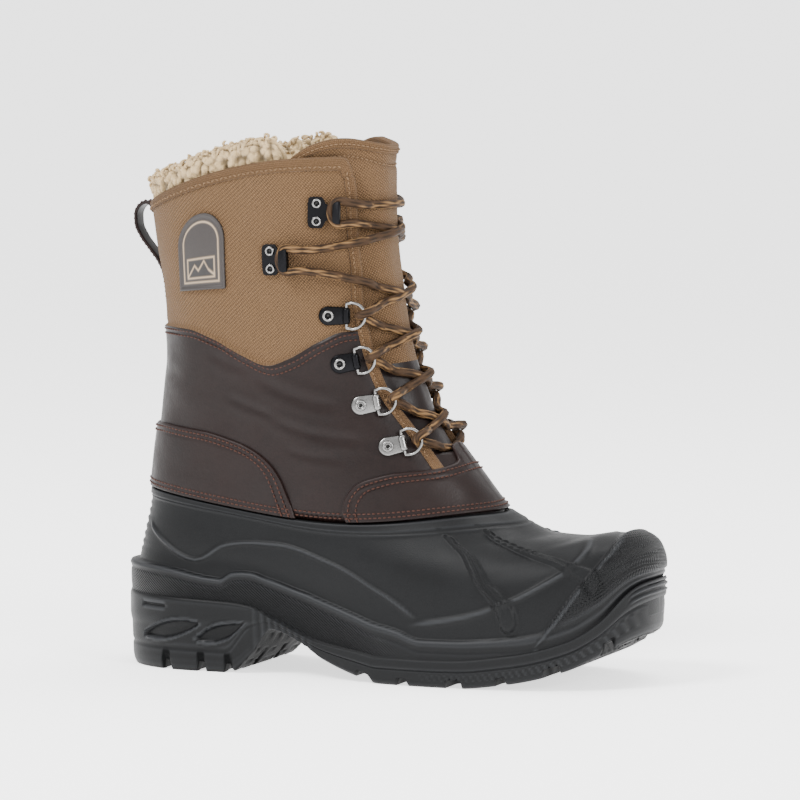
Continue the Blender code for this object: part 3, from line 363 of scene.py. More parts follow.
def sizes():
    """The detail sizes of the open scene."""
    return bpy.context.scene.boot_sizes


def colours():
    """The colours of the open scene."""
    return bpy.context.scene.boot_colours


# Surface of the boot


def monotone(keys, values, at):
    """Smooth curve through a table's rows that never swings past them: cubics, harmonic-mean slopes."""
    at = np.asarray(at, float)
    step = np.diff(keys)
    slope = np.diff(values) / step
    tangent = np.zeros(len(keys))
    same_way = slope[:-1] * slope[1:] > 0
    total = np.where(same_way, slope[:-1] + slope[1:], 1.0)
    tangent[1:-1] = np.where(same_way, 2 * slope[:-1] * slope[1:] / total, 0.0)
    tangent[0] = slope[0]
    tangent[-1] = slope[-1]
    left = np.clip(np.searchsorted(keys, at) - 1, 0, len(step) - 1)
    share = np.clip((at - keys[left]) / step[left], 0, 1)
    start = (1 + 2 * share) * (1 - share) ** 2
    end = share ** 2 * (3 - 2 * share)
    curve = start * values[left] + end * values[left + 1]
    curve += share * (1 - share) ** 2 * step[left] * tangent[left]
    return curve + share ** 2 * (share - 1) * step[left] * tangent[left + 1]


def looked_up(table, at, column=1):
    """Smooth value of a table's column at places of its first column."""
    return monotone(table[:, 0], table[:, column], at)


def along_sole(share):
    """X of a share of the sole's length, from its back end."""
    return (np.asarray(share, float) - 0.5) * SOLE_LENGTH


def sole_share(x):
    """Share of the sole's length at x, before the boot is moved onto the frame."""
    return x / SOLE_LENGTH + 0.5


def smooth_step(low, high, at):
    """0 below low, 1 above high, an even S between."""
    share = np.clip((at - low) / (high - low), 0, 1)
    return share * share * (3 - 2 * share)


def window(start, full, waning, end, at):
    """0 outside start and end, 1 from full to waning, an even S on both flanks."""
    return smooth_step(start, full, at) * smooth_step(end, waning, at)


def bell(at, middle, width):
    """Bell curve: 1 at the middle, 1/e a width away."""
    return np.exp(-((at - middle) / width) ** 2)


def signed_power(value, power):
    """Power of a number's size, with its sign kept."""
    return np.sign(value) * np.abs(value) ** power


def unit(vectors):
    """Vectors brought to length 1."""
    return vectors / np.maximum(np.linalg.norm(vectors, axis=-1, keepdims=True), 1e-12)


def lengths_along(line):
    """Distance of each point of a line from its start."""
    return np.concatenate([[0.0], np.cumsum(np.linalg.norm(np.diff(line, axis=0), axis=-1))])


def points_at(at, lengths, line):
    """Points of a line at distances from its start."""
    return np.stack([np.interp(at, lengths, line[:, axis]) for axis in range(3)], axis=-1)


def all_sections():
    """Galosh and shaft sections in metres, one row for each level."""
    rows = []
    for level, back, front, front_z, heel, ball, front_round, back_round in GALOSH_SECTIONS:
        rows.append((level, along_sole(back), along_sole(front), level * RIM_HEIGHT, front_z * TOE_HEIGHT,
                     heel * HEEL_WIDTH, ball * BALL_WIDTH, front_round, back_round))
    rim_front = rows[-1][4]
    collar_back = along_sole(0) + SHAFT_BACK
    for rise, back, front, front_z, heel, ball, front_round, back_round in SHAFT_SECTIONS:
        width = INSTEP_WIDTH + (SHAFT_WIDTH - INSTEP_WIDTH) * rise
        rows.append((1 + rise, collar_back + back * SHAFT_DEPTH, collar_back + front * SHAFT_DEPTH,
                     RIM_HEIGHT + rise * (BACK_HEIGHT - RIM_HEIGHT),
                     rim_front + front_z * (FRONT_HEIGHT - rim_front),
                     heel * width, ball * width, front_round, back_round))
    return np.array(rows)


SECTIONS = all_sections()


def way_of(turn):
    """Way from the back line to the front line, 0 to 1, on either side."""
    return 1 - np.abs(1 - 2 * (np.asarray(turn, float) % 1.0))


def side_turn(way, side):
    """Turn of a way on the outer (-1) or inner (+1) side."""
    return np.where(np.asarray(side) < 0, np.asarray(way) / 2, 1 - np.asarray(way) / 2)


def bare_surface(level, turn):
    """Point of the rings: an egg-shaped ring at each level, whose height rises along it."""
    level, turn = np.broadcast_arrays(np.asarray(level, float), np.asarray(turn, float))
    held = np.clip(level, 0.0, 2.0)
    values = [looked_up(SECTIONS, held, index) for index in range(1, 9)]
    back_x, front_x, back_z, front_z, heel_half, ball_half, front_round, back_round = values
    side = np.where(turn % 1.0 < 0.5, -1.0, 1.0)
    share = (1 - np.cos(np.pi * way_of(turn))) / 2
    x = back_x + (front_x - back_x) * share
    along = sole_share(x)
    fore = smooth_step(0.12, 0.66, share)
    half = heel_half + (ball_half - heel_half) * fore
    low = np.clip(1 - held, 0, 1)
    half = half - low * BALL_WIDTH * 0.045 * bell(along, 0.40, 0.11) * np.where(side > 0, 1.6, 0.6)
    half = half + low * BALL_WIDTH * 0.022 * bell(along, 0.68, 0.14)
    front_end = np.clip((share - 1 + front_round) / front_round, 0, 1)
    back_end = np.clip((back_round - share) / back_round, 0, 1)
    half = half * (1 - front_end ** 2.3) ** (1 / 2.3) * (1 - back_end ** 2.2) ** (1 / 2.2)
    centre = TOE_SWING * (np.clip(along, 0, 1) ** 2.2) * np.clip(1.3 - 0.9 * held, 0, 1) - 0.0015
    rim_z = RIM_HEIGHT + (SECTIONS[len(GALOSH_SECTIONS) - 1, 4] - RIM_HEIGHT) * share
    dip = np.sin(np.pi * share ** 1.25)
    rim_z = rim_z - RIM_SAG * dip
    base_z = looked_up(SOLE_SIDE, along) * HEEL_LIFT + SEAT_GAP / 3
    galosh_z = base_z + (rim_z - base_z) * np.clip(held, 0, 1)
    sag = RIM_SAG * np.clip(1 - (held - 1) / 0.5, 0, 1) * dip
    arch = COLLAR_ARCH * smooth_step(1.5, 2.0, held) * np.sin(np.pi * share)
    shaft_z = back_z + (front_z - back_z) * share - sag + arch
    side_z = np.where(held <= 1, galosh_z, shaft_z)
    nose = share ** (6 + 30 * np.clip(1 - held / 0.3, 0, 1) ** 2)
    z = side_z * (1 - nose) + front_z * nose
    return np.stack([x, centre + side * half, z + (level - held) * ABOVE_COLLAR], axis=-1)


def flat_ring(level, turns, off):
    """Points of the surface moved sideways only, off their own plan outline."""
    ring = bare_surface(level, turns)
    tangent = bare_surface(level, turns + TURN_STEP) - bare_surface(level, turns - TURN_STEP)
    normal = np.stack([tangent[..., 1], -tangent[..., 0], np.zeros(ring.shape[:-1])], axis=-1)
    return ring + unit(normal) * np.asarray(off)[..., None]


def moved_onto_frame():
    """Sideways shift that carries this script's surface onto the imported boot, read from the insole's box."""
    outline = flat_ring(0.0, np.arange(52) / 52, np.full(52, -INSOLE_INSET - 0.0003))
    low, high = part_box("insole")
    middle = (outline.min(axis=0) + outline.max(axis=0)) / 2
    return np.array([(low.x + high.x) / 2 - middle[0], (low.y + high.y) / 2 - middle[1], 0.0])


SHIFT = moved_onto_frame()


def surface(level, turn, off=0.0):
    """Point at a distance off the rings, along their outward normal, on the frame."""
    level, turn, off = np.broadcast_arrays(*(np.asarray(item, float) for item in (level, turn, off)))
    round_way = bare_surface(level, turn + TURN_STEP) - bare_surface(level, turn - TURN_STEP)
    middle = np.clip(level, LEVEL_STEP, 2 - LEVEL_STEP)
    up_way = bare_surface(middle + LEVEL_STEP, turn) - bare_surface(middle - LEVEL_STEP, turn)
    return bare_surface(level, turn) + unit(np.cross(round_way, up_way)) * off[..., None] + SHIFT


def outward(level, turn):
    """Unit vector straight out of the surface."""
    return unit(surface(level, turn, 0.01) - surface(level, turn, 0.0))


def throat_way(level):
    """Way of the facings' edges at a level."""
    return looked_up(THROAT_EDGE, level)


def leather_level(way):
    """Level at which the leather ends at a way."""
    return looked_up(LEATHER_LINE, way)


def nylon_drop(level, way):
    """How far the shell lies under the surface: nothing on leather, one leather step on nylon."""
    return LEATHER_STEP * smooth_step(-0.004, 0.004, level - leather_level(way))


# Noise and distances, all on whole arrays


def hashed(i, j, seed):
    """Even random number from 0 to 1 for each whole-number cell."""
    value = np.sin(i * 127.1 + j * 311.7 + seed * 74.7) * 43758.5453
    return value - np.floor(value)


def cells(u, v, seed):
    """Distance to the nearest of points scattered one to a unit cell, and that point's own number."""
    base_u = np.floor(u)
    base_v = np.floor(v)
    best = np.full(np.shape(u), 9.0)
    which = np.zeros(np.shape(u))
    for step_u in (-1, 0, 1):
        for step_v in (-1, 0, 1):
            cell_u = base_u + step_u
            cell_v = base_v + step_v
            gap_u = u - cell_u - hashed(cell_u, cell_v, seed)
            gap_v = v - cell_v - hashed(cell_u, cell_v, seed + 1)
            gap = np.hypot(gap_u, gap_v)
            near = gap < best
            best = np.where(near, gap, best)
            which = np.where(near, hashed(cell_u, cell_v, seed + 2), which)
    return best, which


def soft_noise(u, v, seed):
    """Smooth noise from -1 to 1: random corner values blended with an S curve."""
    base_u = np.floor(u)
    base_v = np.floor(v)
    share_u = smooth_step(0, 1, u - base_u)
    share_v = smooth_step(0, 1, v - base_v)
    low, high = (hashed(base_u, base_v + up, seed) * (1 - share_u)
                 + hashed(base_u + 1, base_v + up, seed) * share_u for up in (0, 1))
    return (low * (1 - share_v) + high * share_v) * 2 - 1


LEVEL_METRES = 0.075        # about how tall one level of the galosh is on its side
WAY_METRES = 0.330          # about how long the whole way is round the galosh
SHAFT_LEVEL = 0.165         # the same for the shaft
SHAFT_WAY = 0.185


def line_distance(level, way, points, tall=LEVEL_METRES, wide=WAY_METRES):
    """Distance in metres from a polyline on the surface, and the share along it of the nearest place."""
    rows = np.array(points)
    v = rows[:, 0] * tall
    u = rows[:, 1] * wide
    best = np.full(np.shape(level), 9.0)
    place = np.zeros(np.shape(level))
    for number in range(len(rows) - 1):
        run_u = u[number + 1] - u[number]
        run_v = v[number + 1] - v[number]
        gap_u = way * wide - u[number]
        gap_v = level * tall - v[number]
        share = np.clip((gap_u * run_u + gap_v * run_v) / (run_u ** 2 + run_v ** 2), 0, 1)
        gap = np.hypot(gap_u - share * run_u, gap_v - share * run_v)
        near = gap < best
        best = np.where(near, gap, best)
        place = np.where(near, (number + share) / (len(rows) - 1), place)
    return best, place


def smooth_line(points, count=40):
    """A short table of points as a smooth curve with many."""
    rows = np.array(points)
    keys = np.arange(len(rows))
    fine = np.linspace(0, len(rows) - 1, count)
    return np.stack([monotone(keys, rows[:, index], fine) for index in range(rows.shape[1])], axis=-1)


def ridge(gap, width):
    """Rounded raised line: 1 on the line, falling to nothing over its width."""
    return np.exp(-(gap / width) ** 2)


# Meshes


def new_piece(name, points, faces, materials, uv=None, face_material=None, attributes=None):
    """Mesh object on the frame's body, smooth shaded, with its UV map, face materials and point values."""
    mesh = bpy.data.meshes.new(name)
    mesh.from_pydata(np.asarray(points, float).reshape(-1, 3), [], faces)
    for material in materials:
        mesh.materials.append(material)
    if face_material is not None:
        mesh.polygons.foreach_set("material_index", np.asarray(face_material, np.int32))
    if uv is not None:
        layer = mesh.uv_layers.new(name="UVMap")
        layer.uv.foreach_set("vector", np.asarray(uv, np.float32).ravel())
    for key, values in (attributes or {}).items():
        data = mesh.attributes.new(key, "FLOAT", "POINT").data
        data.foreach_set("value", np.asarray(values, np.float32).ravel())
    mesh.shade_smooth()
    mesh.validate()
    item = bpy.data.objects.new(name, mesh)
    bpy.context.scene.collection.objects.link(item)
    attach(item, "root")
    return item


def grid_quads(rows, columns, wrap_rows=False, wrap_columns=False):
    """Corner numbers of every cell of a grid, and the same unwrapped, for its UV map."""
    row, column = np.mgrid[0:rows if wrap_rows else rows - 1, 0:columns if wrap_columns else columns - 1]
    row = row.ravel()
    column = column.ravel()
    corners = ((0, 0), (0, 1), (1, 1), (1, 0))
    quads = [(row + up) % rows * columns + (column + right) % columns for up, right in corners]
    flat = [(row + up) * (columns + 1) + column + right for up, right in corners]
    return np.stack(quads, axis=-1), np.stack(flat, axis=-1)


def arc_uv(points, wrap_rows=False, wrap_columns=False):
    """UV in metres: distance round each row from its first point, and up the middle column."""
    grid = points
    if wrap_columns:
        grid = np.concatenate([grid, grid[:, :1]], axis=1)
    if wrap_rows:
        grid = np.concatenate([grid, grid[:1]], axis=0)
    across = np.linalg.norm(np.diff(grid, axis=1), axis=-1)
    up = np.linalg.norm(np.diff(grid, axis=0), axis=-1)
    u = np.concatenate([np.zeros((grid.shape[0], 1)), np.cumsum(across, axis=1)], axis=1)
    v = np.concatenate([np.zeros((1, grid.shape[1])), np.cumsum(up, axis=0)], axis=0)
    return np.stack([u, v], axis=-1)


def assembled(name, grids, materials, attributes=None, ring=False):
    """One closed mesh of grids whose columns run round.

    ring joins each grid's last row to its first; without it both are capped.
    """
    points = []
    faces = []
    loops = []
    start = 0
    for grid in grids:
        rows, columns = grid.shape[:2]
        quads, flat = grid_quads(rows, columns, ring, True)
        loops.append(arc_uv(grid, ring, True).reshape(-1, 2)[flat].reshape(-1, 2))
        faces += (quads + start).tolist()
        if not ring:
            last = start + (rows - 1) * columns
            faces.append(list(range(start, start + columns))[::-1])
            faces.append(list(range(last, last + columns)))
            loops.append(np.zeros((2 * columns, 2)))
        points.append(grid.reshape(-1, 3))
        start += rows * columns
    return new_piece(name, np.concatenate(points), faces, materials, np.concatenate(loops), None, attributes)


def shell(name, outer, inner, materials, wrap=False, keep=None, attributes=None, zone=None, lining=None):
    """Closed wall between two grids.

    keep leaves cells open, zone picks each cell's material, and lining is the material of the inside.
    """
    rows, columns = outer.shape[:2]
    quads, flat = grid_quads(rows, columns, False, wrap)
    cell_columns = columns if wrap else columns - 1
    if keep is None:
        keep = np.ones((rows - 1, cell_columns), bool)
    zone = np.zeros((rows - 1, cell_columns), int) if zone is None else zone
    kept = keep.ravel()
    back = rows * columns
    uv = arc_uv(outer, False, wrap)
    if not wrap:
        uv = np.concatenate([uv, uv[:, -1:]], axis=1)
    uv = uv.reshape(-1, 2)
    faces = [quads[kept], quads[kept][:, ::-1] + back]
    maps = [uv[flat[kept]], uv[flat[kept][:, ::-1]]]
    inside = zone if lining is None else np.full_like(zone, lining)
    kinds = [zone.ravel()[kept], inside.ravel()[kept]]
    edge = np.pad(keep, 1)
    if wrap:
        edge[1:-1, 0] = keep[:, -1]
        edge[1:-1, -1] = keep[:, 0]
    open_sides = (edge[:-2, 1:-1], edge[1:-1, 2:], edge[2:, 1:-1], edge[1:-1, :-2])
    for side, neighbour in enumerate(open_sides):
        rim = (keep & ~neighbour).ravel()
        start = quads[rim][:, side]
        end = quads[rim][:, (side + 1) % 4]
        faces.append(np.stack([end, start, start + back, end + back], axis=-1))
        first = uv[flat[rim][:, side]]
        second = uv[flat[rim][:, (side + 1) % 4]]
        maps.append(np.stack([second, first, first, second], axis=1))
        kinds.append(zone.ravel()[rim])
    faces = np.concatenate(faces)
    used, numbers = np.unique(faces, return_inverse=True)
    points = np.concatenate([outer.reshape(-1, 3), inner.reshape(-1, 3)])[used]
    values = {key: np.tile(np.ravel(item), 2)[used] for key, item in (attributes or {}).items()}
    return new_piece(name, points, numbers.reshape(-1, 4).tolist(), materials,
                     np.concatenate(maps).reshape(-1, 2), np.concatenate(kinds), values)


def grid_normals(points):
    """Unit normals of a grid whose columns run round, from the neighbours on each side."""
    around = np.roll(points, -1, axis=1) - np.roll(points, 1, axis=1)
    return unit(np.cross(around, np.gradient(points, axis=0)))


def tube_rows(line, radius, around, up=(0.0, 0.0, 1.0), closed=False):
    """Rings round a line: points at even angles, radius a number or one for each ring and angle."""
    run = np.roll(line, -1, axis=0) - np.roll(line, 1, axis=0) if closed else np.gradient(line, axis=0)
    run = unit(run)
    aside = unit(np.cross(up, run))
    over = np.cross(run, aside)
    angle = 2 * np.pi * np.arange(around) / around
    radius = np.broadcast_to(radius, (len(line), around))[..., None]
    circle = np.cos(angle)[None, :, None] * aside[:, None] + np.sin(angle)[None, :, None] * over[:, None]
    return line[:, None] + radius * circle


# Materials


class Paint:
    """Builds one node material: a Principled shader with colour, roughness and bump wired to it."""

    def __init__(self, name, rough, metallic=0.0, **sockets):
        self.material = bpy.data.materials.new(name)
        self.material.use_nodes = True
        self.nodes = self.material.node_tree.nodes
        self.links = self.material.node_tree.links
        self.shader = self.nodes["Principled BSDF"]
        self.shader.inputs["Roughness"].default_value = rough
        self.shader.inputs["Metallic"].default_value = metallic
        for key, value in sockets.items():
            self.shader.inputs[key.replace("_", " ")].default_value = value
        self.place = self.nodes.new("ShaderNodeTexCoord").outputs["Object"]

    def node(self, kind, inputs=None, **settings):
        """New node with its settings, and inputs given as values or as other nodes' outputs."""
        made = self.nodes.new("ShaderNode" + kind)
        for key, value in settings.items():
            setattr(made, key, value)
        for key, value in (inputs or {}).items():
            if isinstance(value, bpy.types.NodeSocket):
                self.links.new(value, made.inputs[key])
            else:
                made.inputs[key].default_value = value
        return made

    def maths(self, operation, first, second=0.0):
        """Output of one arithmetic node."""
        return self.node("Math", {0: first, 1: second}, operation=operation).outputs[0]

    def noise(self, scale, detail=2.0, rough=0.5, at=None):
        """Noise from 0 to 1 with about scale features to a metre."""
        return self.node("TexNoise", {"Vector": at or self.place, "Scale": scale, "Detail": detail,
                                      "Roughness": rough}).outputs["Fac"]

    def spread(self, value, low, high, to_low=0.0, to_high=1.0):
        """One range stretched over another."""
        return self.node("MapRange", {"Value": value, "From Min": low, "From Max": high, "To Min": to_low,
                                      "To Max": to_high}).outputs[0]

    def blend(self, share, first, second, kind="MIX"):
        """Mix of two colours."""
        made = self.node("Mix", {"Factor": share}, data_type="RGBA", blend_type=kind)
        for socket, value in ((made.inputs[6], first), (made.inputs[7], second)):
            if isinstance(value, bpy.types.NodeSocket):
                self.links.new(value, socket)
            else:
                socket.default_value = (*value, 1.0)
        return made.outputs[2]

    def value_of(self, name):
        """A piece's own point value."""
        return self.node("Attribute", attribute_name=name).outputs["Fac"]

    def colour(self, output):
        """Wire the base colour."""
        self.links.new(output, self.shader.inputs["Base Color"])

    def roughness(self, output):
        """Wire the roughness."""
        self.links.new(output, self.shader.inputs["Roughness"])

    def waves(self, socket, pitch):
        """Sines along the first two axes of a place, each with the given pitch."""
        split = self.node("SeparateXYZ", {"Vector": socket})
        return [self.maths("SINE", self.maths("MULTIPLY", split.outputs[axis], 2 * np.pi / pitch))
                for axis in (0, 1)]

    def bump(self, height, depth, strength=1.0):
        """Add a bump of the given depth in metres over those already there."""
        inputs = {"Height": height, "Distance": depth, "Strength": strength}
        before = self.shader.inputs["Normal"].links
        if before:
            inputs["Normal"] = before[0].from_socket
        self.links.new(self.node("Bump", inputs).outputs[0], self.shader.inputs["Normal"])


def darker(colour, share):
    """A colour times a share."""
    return tuple(min(1.0, channel * share) for channel in colour)


DOT_PITCH = 0.0030          # two rows of the toe cap's dots


def rubber_paint():
    """Matte charcoal rubber: sand grain, faint scuffs; dots, hatching, painted edge highlight and painted
    shade where asked.
    """
    paint = Paint("galosh_rubber", 0.50, Specular_IOR_Level=0.12)
    base = tuple(colours().rubber)
    cloudy = paint.noise(28, 4, 0.6)
    scuff = paint.spread(paint.noise(160, 5, 0.7), 0.62, 0.80)
    shade = paint.blend(cloudy, darker(base, 0.82), darker(base, 1.35))
    shade = paint.blend(paint.maths("MULTIPLY", scuff, 0.20), shade, darker(base, 3.2))
    # painted highlight: much lighter rubber where the point value edge marks raised ridges and edges
    shade = paint.blend(paint.spread(paint.value_of("edge"), 0.0, 1.0, 0.0, 0.7), shade, darker(base, 6.0))
    # under is painted shade: darker, duller rubber in the tread's grooves and over the underside
    under = paint.value_of("under")
    paint.colour(paint.blend(under, shade, darker(base, 0.5)))
    paint.links.new(paint.spread(under, 0.0, 1.0, 0.12, 0.03), paint.shader.inputs["Specular IOR Level"])
    paint.roughness(paint.spread(cloudy, 0.3, 0.7, 0.40, 0.52))
    paint.bump(paint.noise(1600, 2, 0.5), 0.00016, 0.60)
    slanted = paint.node("Mapping", {"Vector": paint.node("UVMap").outputs[0], "Rotation": (0.0, 0.0, 0.9)})
    dots = paint.maths("MULTIPLY", *paint.waves(slanted.outputs[0], DOT_PITCH))
    paint.bump(paint.maths("MULTIPLY", dots, paint.value_of("dots")), 0.00045, 1.0)
    turned = paint.node("Mapping", {"Vector": paint.place, "Rotation": (0.0, 0.9, 0.0)}).outputs[0]
    hatch = paint.node("TexWave", {"Vector": turned, "Scale": 260, "Distortion": 0.6, "Detail": 1.0},
                       bands_direction="X").outputs["Fac"]
    paint.bump(paint.maths("MULTIPLY", hatch, paint.value_of("hatch")), 0.00070, 1.0)
    return paint.material


def leather_paint(name, base, shine=0.40):
    """Smooth brown leather: pebbled grain, cloudy dye, and a painted highlight where a point value asks for
    it.
    """
    paint = Paint(name, shine, Specular_IOR_Level=0.16)
    cloudy = paint.noise(22, 5, 0.6)
    shade = paint.blend(paint.spread(cloudy, 0.30, 0.72), darker(base, 0.70), darker(base, 1.45))
    fine = paint.noise(420, 4, 0.7)
    shade = paint.blend(paint.spread(fine, 0.35, 0.75, 0.0, 0.35), shade, darker(base, 2.1))
    # painted highlight: lighter leather where the piece's point value asks for it
    paint.colour(paint.blend(paint.value_of("worn"), shade, darker(base, 2.8)))
    paint.roughness(paint.spread(paint.noise(90, 5, 0.65), 0.3, 0.75, shine - 0.05, shine + 0.14))
    pebble = paint.node("TexVoronoi", {"Vector": paint.place, "Scale": 820, "Smoothness": 0.6},
                        feature="SMOOTH_F1").outputs["Distance"]
    paint.bump(paint.spread(pebble, 0.0, 0.6), 0.00009, 0.45)
    paint.bump(paint.noise(150, 5, 0.6), 0.00050, 0.22)
    return paint.material


def woven_paint(name, light, dark, pitch, lean=0.0):
    """Coarse plain weave read from the piece's UV in metres: yarns cross over and under, with painted shade in
    the gaps and where a point value asks.
    """
    paint = Paint(name, 0.82, Sheen_Weight=0.05, Sheen_Roughness=0.5, Specular_IOR_Level=0.10)
    place = paint.node("UVMap").outputs[0]
    turned = paint.node("Mapping", {"Vector": place, "Rotation": (0.0, 0.0, lean)}).outputs[0]
    waves = paint.waves(turned, pitch)
    weave = paint.maths("MULTIPLY", *waves)
    over = paint.spread(weave, -1.0, 1.0)
    yarns = paint.maths("MULTIPLY", paint.maths("ABSOLUTE", waves[0]), paint.maths("ABSOLUTE", waves[1]))
    height = paint.maths("ADD", paint.maths("MULTIPLY", yarns, 0.8), paint.maths("MULTIPLY", over, 0.35))
    tone = paint.noise(70, 4, 0.6)
    # painted shade: darker where the yarns' height is low, in the gaps between them
    shade = paint.blend(paint.spread(height, 0.10, 0.75), dark, light)
    shade = paint.blend(paint.spread(tone, 0.3, 0.75, 0.0, 0.45), shade, darker(light, 0.62))
    fuzz = paint.noise(1500, 3, 0.6)
    shade = paint.blend(paint.spread(fuzz, 0.3, 0.8, 0.0, 0.35), shade, darker(light, 1.5))
    # painted shade: darker nylon where the piece's point value asks for it
    paint.colour(paint.blend(paint.value_of("worn"), shade, darker(light, 0.45)))
    paint.bump(height, 0.00060, 0.9)
    paint.bump(fuzz, 0.00010, 0.4)
    return paint.material


def fleece_paint():
    """Cream curly pile: soft sheen, painted shade between the curls, fine hair bump."""
    paint = Paint("fleece", 0.95, Sheen_Weight=0.2, Sheen_Roughness=0.6, Specular_IOR_Level=0.08)
    base = tuple(colours().fleece)
    deep = paint.value_of("deep")
    shade = paint.blend(paint.noise(60, 4, 0.6), darker(base, 0.86), darker(base, 1.08))
    paint.colour(paint.blend(deep, shade, darker(base, 0.30)))
    paint.bump(paint.noise(520, 4, 0.7), 0.0011, 0.8)
    return paint.material


def thread_paint(name, base):
    """Sewing thread: twisted strands as slanting bands."""
    paint = Paint(name, 0.60, Specular_IOR_Level=0.2)
    shade = paint.noise(900, 2, 0.5)
    paint.colour(paint.blend(shade, darker(base, 0.75), darker(base, 1.5)))
    paint.bump(paint.noise(2600, 2, 0.5), 0.0001, 0.5)
    return paint.material


def metal_paint(name, base, rough):
    """Plated metal: slight cloudiness, fine scratches, and painted shade where a point value asks for it."""
    paint = Paint(name, rough, 1.0)
    shade = paint.blend(paint.noise(240, 4, 0.6), darker(base, 0.78), darker(base, 1.15))
    paint.colour(paint.blend(paint.value_of("deep"), shade, darker(base, 0.03)))
    paint.roughness(paint.spread(paint.noise(700, 5, 0.7), 0.3, 0.8, rough - 0.05, rough + 0.16))
    paint.bump(paint.noise(1200, 3, 0.6), 0.00005, 0.3)
    return paint.material


def lace_paint():
    """Braided cord: brown yarns with light flecks and painted shade between the yarns, all from the piece's
    own point values.
    """
    paint = Paint("lace_cord", 0.66, Specular_IOR_Level=0.12)
    base = tuple(colours().lace)
    shade = paint.blend(paint.noise(1300, 3, 0.6), darker(base, 0.7), darker(base, 1.6))
    shade = paint.blend(paint.value_of("fleck"), shade, tuple(colours().fleck))
    paint.colour(paint.blend(paint.value_of("deep"), shade, darker(base, 0.35)))
    paint.bump(paint.noise(2600, 3, 0.6), 0.00015, 0.5)
    return paint.material


def felt_paint(name, base):
    """Short matted pile."""
    paint = Paint(name, 0.95, Sheen_Weight=0.4, Specular_IOR_Level=0.15)
    paint.colour(paint.blend(paint.noise(220, 5, 0.7), darker(base, 0.72), darker(base, 1.15)))
    paint.bump(paint.noise(1100, 4, 0.7), 0.0006, 0.7)
    return paint.material


PAINTS = {}


def kept(name, maker, *details):
    """A material made once and found again by its name, apart from the frame's own."""
    if name not in PAINTS:
        PAINTS[name] = maker(*details)
    return PAINTS[name]


def rubber():
    """The galosh's and the sole's rubber."""
    return kept("galosh_rubber", rubber_paint)


def leather():
    """The shaft's leather."""
    return kept("leather", leather_paint, "leather", tuple(colours().leather))


def nylon():
    """The shaft's and the tongue's nylon."""
    return kept("nylon", woven_paint, "nylon", tuple(colours().nylon), tuple(colours().nylon_dark),
                sizes().weave_pitch, 0.70)


METAL_ROUGH = {"nickel": 0.24, "gunmetal": 0.32}


def metal(slot):
    """The bright or the dark plating of the hardware."""
    return kept(slot, metal_paint, slot, tuple(getattr(colours(), slot)), METAL_ROUGH[slot])


def fleece():
    """The roll's and the locks' pile."""
    return kept("fleece", fleece_paint)


def binding_tape():
    """The ribbed tape of the edges."""
    base = tuple(colours().binding)
    # the binding's darker tone is painted shade in its weave's gaps
    return kept("binding", woven_paint, "binding", base, darker(base, 0.25), sizes().weave_pitch * 0.8, 0.0)


def felt():
    """The insole's and the lining's felt."""
    return kept("insole_felt", felt_paint, "insole_felt", tuple(colours().felt))


# Rubber


def painted_edge_highlight(relief):
    """Share from 0 to 1 where a grid's relief bulges over its neighbours, for a painted highlight along raised
    edges.
    """
    around = (np.roll(relief, 2, axis=1) + np.roll(relief, -2, axis=1)) / 2
    above = np.concatenate([relief[2:], relief[-2:]])
    below = np.concatenate([relief[:2], relief[:-2]])
    return np.clip((relief - (around + above + below) / 3) / 0.0006, 0, 1)


def galosh_relief(level, turn):
    """Distance of the galosh's face off the surface, with its dots, hatching and the share of its painted edge
    highlight.

    Sum of the heel band and side guard under their line, the rim band, the toe cap's step, the moulded ridges
    and the toe's ribs, each an even S or a rounded line of its distance.
    """
    way = way_of(turn)
    along = sole_share(bare_surface(level, turn)[..., 0])
    line = looked_up(BAND_LINE, along)
    proud = looked_up(BAND_LINE, along, 2)
    under_line = smooth_step(line + 0.012, line - 0.006, level)
    relief = proud * under_line
    relief = relief + 0.0006 * ridge((level - line + 0.030) * LEVEL_METRES, 0.0012)
    relief = relief - 0.0004 * ridge((level - line + 0.075) * LEVEL_METRES, 0.0009)
    rim = smooth_step(0.922, 0.938, level)
    relief = relief + RIM_STEP * rim - 0.0010 * smooth_step(0.985, 1.0, level)
    relief = relief + 0.0004 * ridge((level - 0.912) * LEVEL_METRES, 0.0007)
    cap_line = looked_up(TOE_CAP_EDGE, level)
    cap = smooth_step(-0.0060, 0.0050, along - cap_line) * smooth_step(0.80, 0.62, level)
    relief = relief + TOE_STEP * cap * (1 - under_line)
    relief = relief + 0.0006 * ridge((along - cap_line - 0.008) * SOLE_LENGTH, 0.0012) * cap
    back = bell(way, 0.0, 0.07) * window(0.34, 0.42, 0.84, 0.90, level)
    relief = relief + 0.0007 * np.sin(level * 2 * np.pi / 0.075) * back
    height = sizes().ridge_height
    clear = (1 - under_line) * (1 - rim)
    for points, width in ((SIDE_RIDGE, 0.0013), (FRONT_RIDGE, 0.0012)):
        gap, place = line_distance(level, way, smooth_line(points))
        relief = relief + height * ridge(gap, width) * window(0.0, 0.06, 0.94, 1.0, place) * clear
    relief = relief - 0.0006 * bell(way, 0.29, 0.13) * bell(level, 0.40, 0.10) * clear
    ribs = 0 * relief
    for points, low, high in ((SHORT_RIB, 0.0015, 0.0034), (LONG_RIB, 0.0013, 0.0036)):
        gap, place = line_distance(level, way, smooth_line(points))
        half = low + (high - low) * place ** 2
        bar = smooth_step(half + 0.0008, half - 0.0004, gap)
        groove = 0.55 * ridge(gap, 0.0007) * window(0.02, 0.12, 0.80, 0.98, place)
        relief = relief + sizes().rib_height * bar * (1 - groove) * clear * smooth_step(0.0, 0.03, place)
        ribs = np.maximum(ribs, smooth_step(half + 0.0030, half + 0.0015, gap))
    dots = cap * window(0.10, 0.16, 0.56, 0.66, level)
    hatch = under_line * smooth_step(0.60, 0.45, along) * smooth_step(line - 0.05, line - 0.10, level)
    return relief, dots, hatch, painted_edge_highlight(relief) * (1 - ribs)


